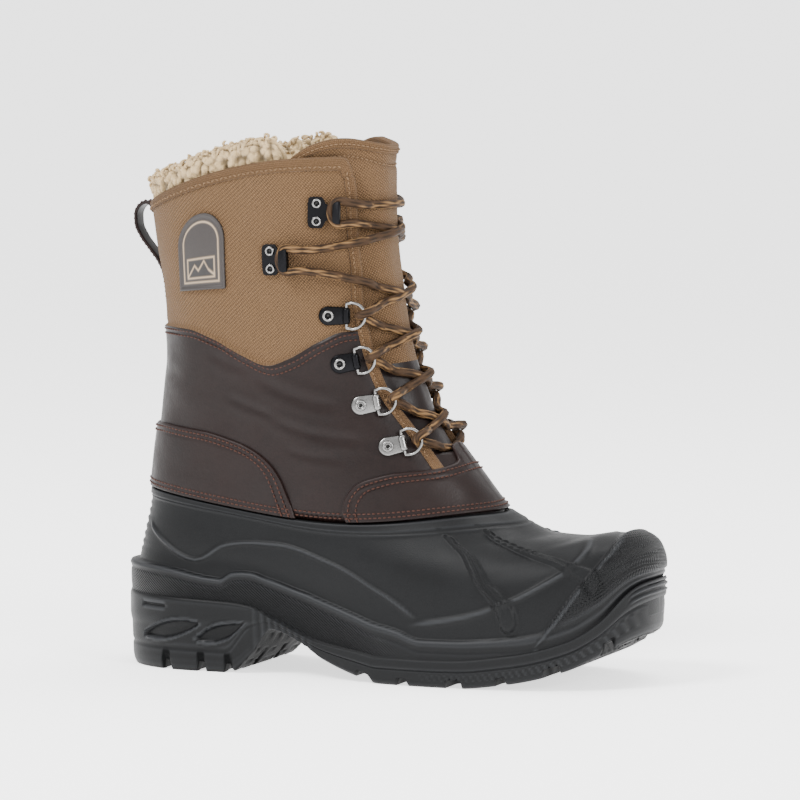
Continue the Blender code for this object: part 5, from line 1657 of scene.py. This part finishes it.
def build_clip(number, side, name):
    """Clip with its rivet, and the D-ring that tilts out of it."""
    level, way, ring_level, ring_way = CLIPS[number]
    place = frame_at(level, way, side, ring_level, ring_way)
    slot = "nickel" if number < BRIGHT_CLIPS else "gunmetal"
    plating = metal(slot)
    foot = foot_height(level, way)
    bar = place[4] - RING_DEPTH / 2
    angle = np.linspace(np.pi / 2, 3 * np.pi / 2, 20)
    out_way = np.linspace(0, bar, 13)[1:]
    narrow = CLIP_HALF * np.linspace(1, 0.90, 13)[1:]
    ahead = np.concatenate([CLIP_HALF * np.cos(angle), out_way, out_way[::-1]])
    across = np.concatenate([CLIP_HALF * np.sin(angle), -narrow, narrow[::-1]])
    rings = []
    for shrink, rise in ((0.0, 0.0), (0.0, 0.6), (0.0003, 0.9), (0.0008, 1.0)):
        inner = 1 - shrink / CLIP_HALF
        height = foot + CLIP_THICK * rise
        rings.append(local(place, (ahead - bar / 3) * inner + bar / 3, across * inner, height))
    barrel_line = local(place, bar, np.linspace(-1, 1, 14) * CLIP_HALF * 0.88, foot + BARREL_FOOT)
    round_end = np.sqrt(1 - (np.linspace(-0.97, 0.97, 14)) ** 8)[:, None]
    barrel = tube_rows(barrel_line, BARREL_RADIUS * round_end, 16, place[3])
    centre = dome(place, 0.0, 0.0, foot + CLIP_THICK, RIVET_RADIUS * 0.60, RIVET_RISE / 2)
    rivet = dome(place, 0.0, 0.0, foot + CLIP_THICK, RIVET_RADIUS, RIVET_RISE)
    dome_painted_shade = np.repeat(DOME_PAINTED_SHADE, DOME_POINTS)
    assembled("clip_rivet_" + name, [rivet], [metal("nickel")], {"deep": dome_painted_shade})
    # painted shade on the plate's sides, fading up to its face
    plate_painted_shade = np.repeat((1.0, 1.0, 0.25, 0.0), len(ahead))
    item = assembled("clip_piece_" + name, [np.array(rings), barrel, centre], [plating],
                     {"deep": np.concatenate([plate_painted_shade, np.zeros(barrel[..., 0].size), dome_painted_shade])})
    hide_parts("clip_" + name)
    tilt = np.radians(RING_TILT)
    sweep = np.radians(np.linspace(-90, 90, 40))
    run = np.concatenate([RING_DEPTH * 0.30 + RING_DEPTH * 0.70 * np.cos(sweep), np.zeros(16)])
    wide = np.concatenate([RING_HALF * np.sin(sweep), np.linspace(0.94, -0.94, 16) * RING_HALF])
    line = local(place, bar + run * np.cos(tilt), wide, foot + RING_FOOT + run * np.sin(tilt))
    wire = tube_rows(line, RING_WIRE, 12, place[3], True)
    ring = assembled("ring_piece_" + name, [wire], [metal("nickel")], None, True)
    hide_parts("ring_" + name)


def build_hook(number, side, name):
    """Lace hook: a plate with two rivets whose arm narrows, rises and turns back over the lace."""
    level, way, head_level, head_way = HOOKS[number]
    place = frame_at(level, way, side, head_level, head_way)
    reach = place[4]
    dark = metal("gunmetal")
    foot = foot_height(level, way)
    # Side view of the hook. Columns: ahead, height, half width as a share
    rows = np.array((
        (-0.0052, 0.0, 0.55), (-0.0046, 0.0, 0.90), (-0.0030, 0.0, 1.0), (0.0022, 0.0, 1.0),
        (0.0036, 0.0, 0.80), (0.0052, 0.0001, 0.52), (reach - 0.0036, 0.0004, 0.46),
        (reach - 0.0008, 0.0016, 0.46), (reach + 0.0006, 0.0040, 0.55), (reach + 0.0004, 0.0066, 0.68),
        (reach - 0.0012, 0.0082, 0.72), (reach - 0.0034, 0.0086, 0.62), (reach - 0.0040, 0.0084, 0.45),
    ))
    rows = smooth_line(rows, 60)
    run = np.gradient(rows[:, :2], axis=0)
    normal = unit(np.stack([-run[:, 1], run[:, 0]], axis=-1))
    spread = np.sin(np.linspace(-1, 1, 15) * np.pi / 2)[:, None] * HOOK_HALF * rows[None, :, 2]
    bend = 0.0008 * (spread / HOOK_HALF) ** 2 * smooth_step(0.0045, 0.0085, rows[None, :, 1])
    low = local(place, rows[None, :, 0], spread, rows[None, :, 1] + foot - bend)
    top = rows[:, :2] + normal * HOOK_THICK
    high = local(place, top[None, :, 0], spread, top[None, :, 1] + foot - bend)
    item = shell("hook_piece_" + name, high, low, [dark])

    def two_domes(radius, rise):
        return [dome(place, -0.0004, step * HOOK_RIVET_APART, foot + HOOK_THICK, radius, rise)
                for step in (-1, 1)]

    assembled("hook_centres_" + name, two_domes(0.0017, 0.0006), [dark])
    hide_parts("hook_" + name)
    # painted shade at the rivets' feet and in their dimples
    deep = np.tile(np.repeat(DOME_PAINTED_SHADE, DOME_POINTS), 2)
    rivets = assembled("hook_rivets_" + name, two_domes(HOOK_RIVET, HOOK_RIVET_RISE), [metal("nickel")],
                       {"deep": deep})


def ring_turn(number, side):
    """The lace's turn round a ring's bow: in under the bow, up through the ring and back over it."""
    level, way, ring_level, ring_way = CLIPS[number]
    place = frame_at(level, way, side, ring_level, ring_way)
    upward = -side
    bow = place[4] - RING_DEPTH / 2 + RING_DEPTH * np.cos(np.radians(RING_TILT))
    height = foot_height(level, way) + RING_FOOT + RING_DEPTH * np.sin(np.radians(RING_TILT))
    round_bow = np.radians((-50, -90, -130, -180, -230, -270, -310))
    clear = RING_WIRE + sizes().lace_radius + 0.0002
    slide = np.linspace(-1, 1, 7) * 0.0023 * upward
    return local(place, bow + clear * np.cos(round_bow), slide, height + clear * np.sin(round_bow) * 0.9)


def hook_turn(number, side):
    """The lace's turn behind a hook's neck, between its plate and its head."""
    level, way, head_level, head_way = HOOKS[number]
    place = frame_at(level, way, side, head_level, head_way)
    upward = -side
    around = np.radians((-50, -90, -135, -180, -225, -270, -310))
    reach = np.array((0.012, 0.004, 0.0046, 0.0046, 0.0046, 0.004, 0.012))
    ahead = place[4] - 0.0005 + np.cos(around) * reach
    return local(place, ahead, np.sin(around) * 0.0068 * upward, foot_height(level, way) + HOOK_NECK)


def crossing(start, end, over):
    """Lace between two turns: levels and turns run evenly, and the height follows facings and tongue."""
    share = np.linspace(0.16, 0.84, 18)
    level = start[0] + (end[0] - start[0]) * share
    turn = start[1] + (end[1] - start[1]) * share
    way = way_of(turn)
    across = np.clip((1 - way) / (1 - TONGUE_WAY), 0, 1)
    face = OVERLAY_GAP + OVERLAY_THICK
    between = smooth_step(0.01, 0.07, way - throat_way(level))
    off = face + (tongue_off(level, across) - 0.0004 - face) * between + sizes().lace_radius
    return surface(level, turn, off + over * 1.5 * sizes().lace_radius * ridge(share - 0.5, 0.13))


def lace_line():
    """The whole lace as one closed line: up one zigzag of turns, over the top bar and down the other."""
    stops = [(ring_turn, number, CLIPS[number][2], CLIPS[number][3] + 0.035) for number in range(4)]
    stops += [(hook_turn, number, HOOKS[number][2], HOOKS[number][3] + 0.030) for number in range(2)]
    step = 0.018
    line = []
    for first_side, upwards in ((-1, True), (1, False)):
        order = list(enumerate(stops)) if upwards else list(enumerate(stops))[::-1]
        for position, (turn_points, number, level, way) in order:
            side = first_side * (-1) ** position
            points = turn_points(number, side)
            line.append(points if upwards else points[::-1])
            after = position + (1 if upwards else -1)
            leave = level + (step if upwards else -step)
            here = (leave, float(side_turn(way, side)))
            if not 0 <= after < len(stops):
                there = (leave, float(side_turn(way, -side)))
                points = crossing(here, there, 0.0 if upwards else -0.55)
            else:
                _, _, next_level, next_way = stops[after]
                arrive = next_level - (step if upwards else -step)
                there = (arrive, float(side_turn(next_way, -side)))
                points = crossing(here, there, 1.0 if (side < 0) == upwards else 0.0)
            line.append(points)
    return np.concatenate(line)


def rounded_line(points, spacing):
    """A closed line through points, softened and laid out at an even spacing."""
    for _ in range(2):
        ahead = np.roll(points, -1, axis=0)
        points = np.stack([0.75 * points + 0.25 * ahead, 0.25 * points + 0.75 * ahead], axis=1)
        points = points.reshape(-1, 3)
    closed = np.concatenate([points, points[:1]])
    lengths = lengths_along(closed)
    fine = np.linspace(0, lengths[-1], int(lengths[-1] / spacing), endpoint=False)
    return points_at(fine, lengths, closed)


def build_lace():
    """The braided lace: a round cord, its yarns raised in a crossing pattern with light flecks."""
    line = rounded_line(lace_line(), LACE_SPACING)
    angle = np.arange(LACE_AROUND)[None, :] / LACE_AROUND
    place = np.arange(len(line))[:, None] * LACE_SPACING / YARN_PITCH
    first = np.sin(2 * np.pi * (6 * angle + place))
    second = np.sin(2 * np.pi * (6 * angle - place))
    braid = np.maximum(first, second)
    radius = sizes().lace_radius * (0.93 + 0.09 * braid)
    up = unit(line - np.array((line[:, 0].mean() - 0.10, 0.0, line[:, 2].mean() - 0.10)))
    yarn = np.floor(6 * angle + place)
    other = np.floor(6 * angle - place)
    light = (hashed(np.mod(yarn, 7), np.mod(other, 5), 2) > 0.62) * np.clip(braid, 0, 1) ** 2
    # painted shade between the yarns, where the braid sinks
    values = {"fleck": light, "deep": np.clip(0.45 - braid, 0, 1) * 1.1}
    cord = tube_rows(line, radius, LACE_AROUND, up, True)
    item = assembled("lace", [cord], [kept("lace_cord", lace_paint)], values, True)
    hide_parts("lace_bar_low", "lace_bar_top", *("lace_cross_%d" % number for number in range(1, 6)))


def build_hardware():
    """Four clips with D-rings and two hooks on each side."""
    for side, word in ((-1, "outer"), (1, "inner")):
        for number in range(len(CLIPS)):
            build_clip(number, side, "%s_%d" % (word, number + 1))
        for number in range(len(HOOKS)):
            build_hook(number, side, "%s_%d" % (word, number + 1))


# Stitches


def inset_line(rows, distance, count=220):
    """A line of levels and ways moved sideways over the shaft by a distance."""
    fine = smooth_line(rows, count)
    flat = fine * (SHAFT_LEVEL, SHAFT_WAY)
    run = unit(np.gradient(flat, axis=0))
    flat = flat + distance * np.stack([-run[:, 1], run[:, 0]], axis=-1)
    return flat / (SHAFT_LEVEL, SHAFT_WAY)


def stitch_run(rows, side, off, zigzag=0.0):
    """Middle points, directions and outward directions of the stitches along a line on one side."""
    turns = side_turn(rows[:, 1], side)
    line = surface(rows[:, 0], turns, off)
    outs = outward(rows[:, 0], turns)
    return spaced(line, outs, zigzag)


def spaced(line, outs, zigzag=0.0):
    """Stitches at the sewing pitch along a line of points with their outward directions."""
    lengths = lengths_along(line)
    count = max(2, int(lengths[-1] / sizes().stitch_pitch))
    at = (np.arange(count) + 0.5) * lengths[-1] / count
    middle = points_at(at, lengths, line)
    run = unit(points_at(at + 0.0004, lengths, line) - points_at(at - 0.0004, lengths, line))
    out = points_at(at, lengths, outs)
    out = unit(out - run * np.sum(run * out, axis=-1, keepdims=True))
    turn = np.where(np.arange(count) % 2 == 0, zigzag, -zigzag)[:, None]
    run = run * np.cos(turn) + np.cross(out, run) * np.sin(turn)
    return middle, run, out


def sewn(name, runs, colour_name):
    """One mesh of many stitches: each a short thick thread, rounded at its ends, that dips into the piece."""
    middle, run, out = (np.concatenate(parts) for parts in zip(*runs))
    aside = np.cross(out, run)
    steps = np.array((-0.5, -0.40, 0.0, 0.40, 0.5))
    fat = np.array((0.35, 0.85, 1.0, 0.85, 0.35))
    dip = np.array((-0.9, -0.3, 0.35, -0.3, -0.9))
    angle = 2 * np.pi * np.arange(5) / 5
    radius = sizes().thread_radius
    line = middle[:, None] + run[:, None] * (steps * sizes().stitch_length)[None, :, None]
    line = line + out[:, None] * (dip * radius)[None, :, None]
    circle = np.cos(angle)[:, None] * aside[:, None] + np.sin(angle)[:, None] * out[:, None]
    points = line[:, :, None] + circle[:, None] * (fat * radius)[None, :, None, None]
    quads, _ = grid_quads(5, 5, False, True)
    start = (np.arange(len(middle)) * 25)[:, None]
    faces = (quads[None] + start[:, :, None]).reshape(-1, 4).tolist()
    ring = np.arange(5)
    faces += (ring[::-1][None] + start).tolist() + (ring[None] + 20 + start).tolist()
    thread = kept(colour_name, thread_paint, colour_name, tuple(getattr(colours(), colour_name)))
    new_piece(name, points.reshape(-1, 3), faces, [thread])


def build_stitches():
    """All seams: double rows along the leather, rows over the galosh's rim, and the tapes' seams."""
    inset = sizes().seam_inset
    gap = sizes().row_gap
    plate_top = OVERLAY_GAP + OVERLAY_THICK + 0.0001
    saddle = [(level, way) for way, level in SADDLE_TOP[:-3]]
    saddle = [(OVERLAY_FOOT, 0.584)] + saddle + [(1.172, 0.960), (1.174, 1.0)]
    counter = [(level, way) for way, level in COUNTER_TOP] + [(OVERLAY_FOOT, 0.494)]
    line_ways = np.linspace(0, 0.812, 60)
    leather_edge = np.stack([leather_level(line_ways), line_ways], axis=-1)
    rim_ways = np.linspace(0, 1, 200)
    facing_levels = np.linspace(1.19, 1.97, 60)
    rust = []
    tan = []
    for side in (-1, 1):
        for number in (0, 1):
            shift = inset + number * gap
            rust.append(stitch_run(inset_line(saddle, shift), side, plate_top))
            rust.append(stitch_run(inset_line(counter, shift), side, plate_top))
            rows = leather_edge - np.array((shift / SHAFT_LEVEL, 0.0))
            rust.append(stitch_run(rows, side, 0.0003))
            levels = 1.020 + number * gap / SHAFT_LEVEL + 0 * rim_ways
            rows = np.stack([levels, rim_ways], axis=-1)
            covered = (rim_ways > 0.586) | (rim_ways < 0.492)
            rust.append(stitch_run(rows[covered & (rim_ways < 0.5)], side, plate_top))
            rust.append(stitch_run(rows[covered & (rim_ways > 0.5)], side, plate_top))
            rust.append(stitch_run(rows[~covered], side, 0.0003))
        facing_ways = throat_way(facing_levels) - TAPE_SEAM * FACING_WIDER / SHAFT_WAY
        rows = np.stack([facing_levels, facing_ways], axis=-1)
        tan.append(stitch_run(rows, side, 0.0013 - nylon_drop(rows[:, 0], rows[:, 1]), 0.45))
        ways = np.linspace(0.0, 0.795, 80)
        rows = np.stack([2.0 - TAPE_SEAM / ABOVE_COLLAR + 0 * ways, ways], axis=-1)
        tan.append(stitch_run(rows, side, 0.0013 - LEATHER_STEP, 0.45))
    across = np.linspace(-0.97, 0.97, 120)
    for down, proud in ((0.0024, 0.0012), (TONGUE_SEAM, -0.0008)):
        levels = tongue_top(across) - down / ABOVE_COLLAR
        off = tongue_off(levels, across) + proud
        turns = tongue_turn(levels, across)
        tan.append(spaced(surface(levels, turns, off), outward(levels, turns)))
    line, normal = loop_line()
    for edge in (-1, 1):
        row = line[8:-8] + normal[8:-8] * 0.0021 + np.array((0, edge * 0.0034, 0))
        rust.append(spaced(row, normal[8:-8]))
    sewn("rust_stitches", rust, "thread")
    sewn("tan_stitches", tan, "tan_thread")


# Stage


FLOOR_LEVEL = 3.0           # the floor is level so far out
FLOOR_END = 14.0
FLOOR_CURVE = 0.020
CAMERA_LENS = 194.4         # millimetres
CAMERA_TURN = 22.0          # degrees from the outer side towards the toe
CAMERA_RISE = 4.6           # degrees
CAMERA_AWAY = 2.4
CAMERA_AIM = 0.15           # height looked at
CAMERA_RIGHT = 0.00361      # small shifts that centre the boot as in the photo
CAMERA_UP = 0.00111


def soft_light(name, place, size, power):
    """Square soft light that looks at the boot."""
    data = bpy.data.lights.new(name, "AREA")
    data.size = size
    data.energy = power
    item = bpy.data.objects.new(name, data)
    item.location = place
    item.rotation_euler = (Vector((0, 0, 0.12)) - item.location).to_track_quat("-Z", "Y").to_euler()
    bpy.context.scene.collection.objects.link(item)
    return item


def build_stage():
    """Pale floor, soft lights, a white world, and the camera at the photo's angle.

    The floor is level near the boot and then rises as the square of the distance, so no horizon shows.
    """
    paint = Paint("floor", 0.9, Specular_IOR_Level=0.1)
    paint.shader.inputs["Base Color"].default_value = (*colours().floor, 1.0)
    paint.shader.inputs["Emission Color"].default_value = (1.0, 1.0, 1.0, 1.0)
    paint.shader.inputs["Emission Strength"].default_value = 1.5
    radius = np.linspace(FLOOR_LEVEL, FLOOR_END, 45)[:, None]
    angle = 2 * np.pi * np.arange(96)[None, :] / 96
    height = FLOOR_CURVE * (radius - FLOOR_LEVEL) ** 2 + 0 * angle
    dish = np.stack([radius * np.cos(angle), radius * np.sin(angle), height], axis=-1)
    quads, _ = grid_quads(45, 96, False, True)
    mesh = bpy.data.meshes.new("floor")
    mesh.from_pydata(dish.reshape(-1, 3), [], quads[:, ::-1].tolist() + [list(range(96))])
    mesh.materials.append(paint.material)
    ground = bpy.data.objects.new("floor", mesh)
    bpy.context.scene.collection.objects.link(ground)
    world = bpy.data.worlds.new("studio")
    world.use_nodes = True
    world.node_tree.nodes["Background"].inputs["Color"].default_value = (1.0, 1.0, 1.0, 1.0)
    world.node_tree.nodes["Background"].inputs["Strength"].default_value = 1.35
    bpy.context.scene.world = world
    lights = [
        soft_light("key", (-0.7, -1.3, 1.9), 0.6, 62.0),
        soft_light("fill", (1.7, -1.0, 1.0), 0.6, 30.0),
        soft_light("top", (0.3, 0.5, 2.0), 1.2, 30.0),
    ]
    data = bpy.data.cameras.new("camera")
    data.lens = CAMERA_LENS
    camera = bpy.data.objects.new("camera", data)
    azimuth = np.radians(CAMERA_TURN)
    elevation = np.radians(CAMERA_RISE)
    level = np.cos(elevation)
    forward = Vector((-np.sin(azimuth) * level, np.cos(azimuth) * level, -np.sin(elevation)))
    right = Vector((np.cos(azimuth), np.sin(azimuth), 0.0))
    up = right.cross(forward)
    shift = right * CAMERA_RIGHT + up * CAMERA_UP
    camera.location = Vector((0, 0, CAMERA_AIM)) - forward * CAMERA_AWAY + shift
    camera.rotation_euler = forward.to_track_quat("-Z", "Y").to_euler()
    bpy.context.scene.collection.objects.link(camera)
    bpy.context.scene.camera = camera


# Operators


class BOOT_OT_rubber(bpy.types.Operator):
    """Build the galosh, the sole and the insole."""

    bl_idname = "boot.rubber"
    bl_label = "Rubber"

    def execute(self, context):
        build_galosh()
        build_outsole()
        build_insole()
        return {"FINISHED"}


class BOOT_OT_shaft(bpy.types.Operator):
    """Build the shaft with its overlays and tapes."""

    bl_idname = "boot.shaft"
    bl_label = "Shaft"

    def execute(self, context):
        build_upper()
        build_overlays()
        build_binding()
        return {"FINISHED"}


class BOOT_OT_tongue(bpy.types.Operator):
    """Build the padded tongue."""

    bl_idname = "boot.tongue"
    bl_label = "Tongue"

    def execute(self, context):
        build_tongue()
        return {"FINISHED"}


class BOOT_OT_fleece(bpy.types.Operator):
    """Build the curly fleece collar."""

    bl_idname = "boot.fleece"
    bl_label = "Fleece"

    def execute(self, context):
        build_fleece()
        return {"FINISHED"}


class BOOT_OT_trims(bpy.types.Operator):
    """Build the pull loop and the patch."""

    bl_idname = "boot.trims"
    bl_label = "Trims"

    def execute(self, context):
        build_loop()
        build_badge()
        return {"FINISHED"}


class BOOT_OT_hardware(bpy.types.Operator):
    """Build the clips, rings and hooks."""

    bl_idname = "boot.hardware"
    bl_label = "Hardware"

    def execute(self, context):
        build_hardware()
        return {"FINISHED"}


class BOOT_OT_lace(bpy.types.Operator):
    """Build the braided lace."""

    bl_idname = "boot.lace"
    bl_label = "Lace"

    def execute(self, context):
        build_lace()
        return {"FINISHED"}


class BOOT_OT_stitches(bpy.types.Operator):
    """Build all the seams."""

    bl_idname = "boot.stitches"
    bl_label = "Stitches"

    def execute(self, context):
        build_stitches()
        return {"FINISHED"}


class BOOT_OT_stage(bpy.types.Operator):
    """Build the floor, lights and camera."""

    bl_idname = "boot.stage"
    bl_label = "Stage"

    def execute(self, context):
        build_stage()
        return {"FINISHED"}


OPERATORS = (BOOT_OT_rubber, BOOT_OT_shaft, BOOT_OT_tongue, BOOT_OT_fleece, BOOT_OT_trims, BOOT_OT_hardware,
             BOOT_OT_lace, BOOT_OT_stitches, BOOT_OT_stage)


class BOOT_PT_dresser(bpy.types.Panel):
    """Sidebar panel with the settings and the builders."""

    bl_label = "Boot"
    bl_idname = "BOOT_PT_dresser"
    bl_space_type = "VIEW_3D"
    bl_region_type = "UI"
    bl_category = "Boot"

    def draw(self, context):
        for settings in (context.scene.boot_sizes, context.scene.boot_colours):
            for key in settings.__annotations__:
                self.layout.prop(settings, key)
        for operator in OPERATORS:
            self.layout.operator(operator.bl_idname)


CLASSES = (BootSizes, BootColours, *OPERATORS, BOOT_PT_dresser)


def register():
    """Add the settings, the operators and the panel."""
    for item in CLASSES:
        bpy.utils.register_class(item)
    bpy.types.Scene.boot_sizes = bpy.props.PointerProperty(type=BootSizes)
    bpy.types.Scene.boot_colours = bpy.props.PointerProperty(type=BootColours)


def unregister():
    """Take them away again."""
    del bpy.types.Scene.boot_colours
    del bpy.types.Scene.boot_sizes
    for item in reversed(CLASSES):
        bpy.utils.unregister_class(item)


def main():
    """Build everything in order."""
    register()
    bpy.ops.boot.rubber()
    bpy.ops.boot.shaft()
    bpy.ops.boot.tongue()
    bpy.ops.boot.fleece()
    bpy.ops.boot.trims()
    bpy.ops.boot.hardware()
    bpy.ops.boot.lace()
    bpy.ops.boot.stitches()
    bpy.ops.boot.stage()


if __name__ == "__main__":
    main()
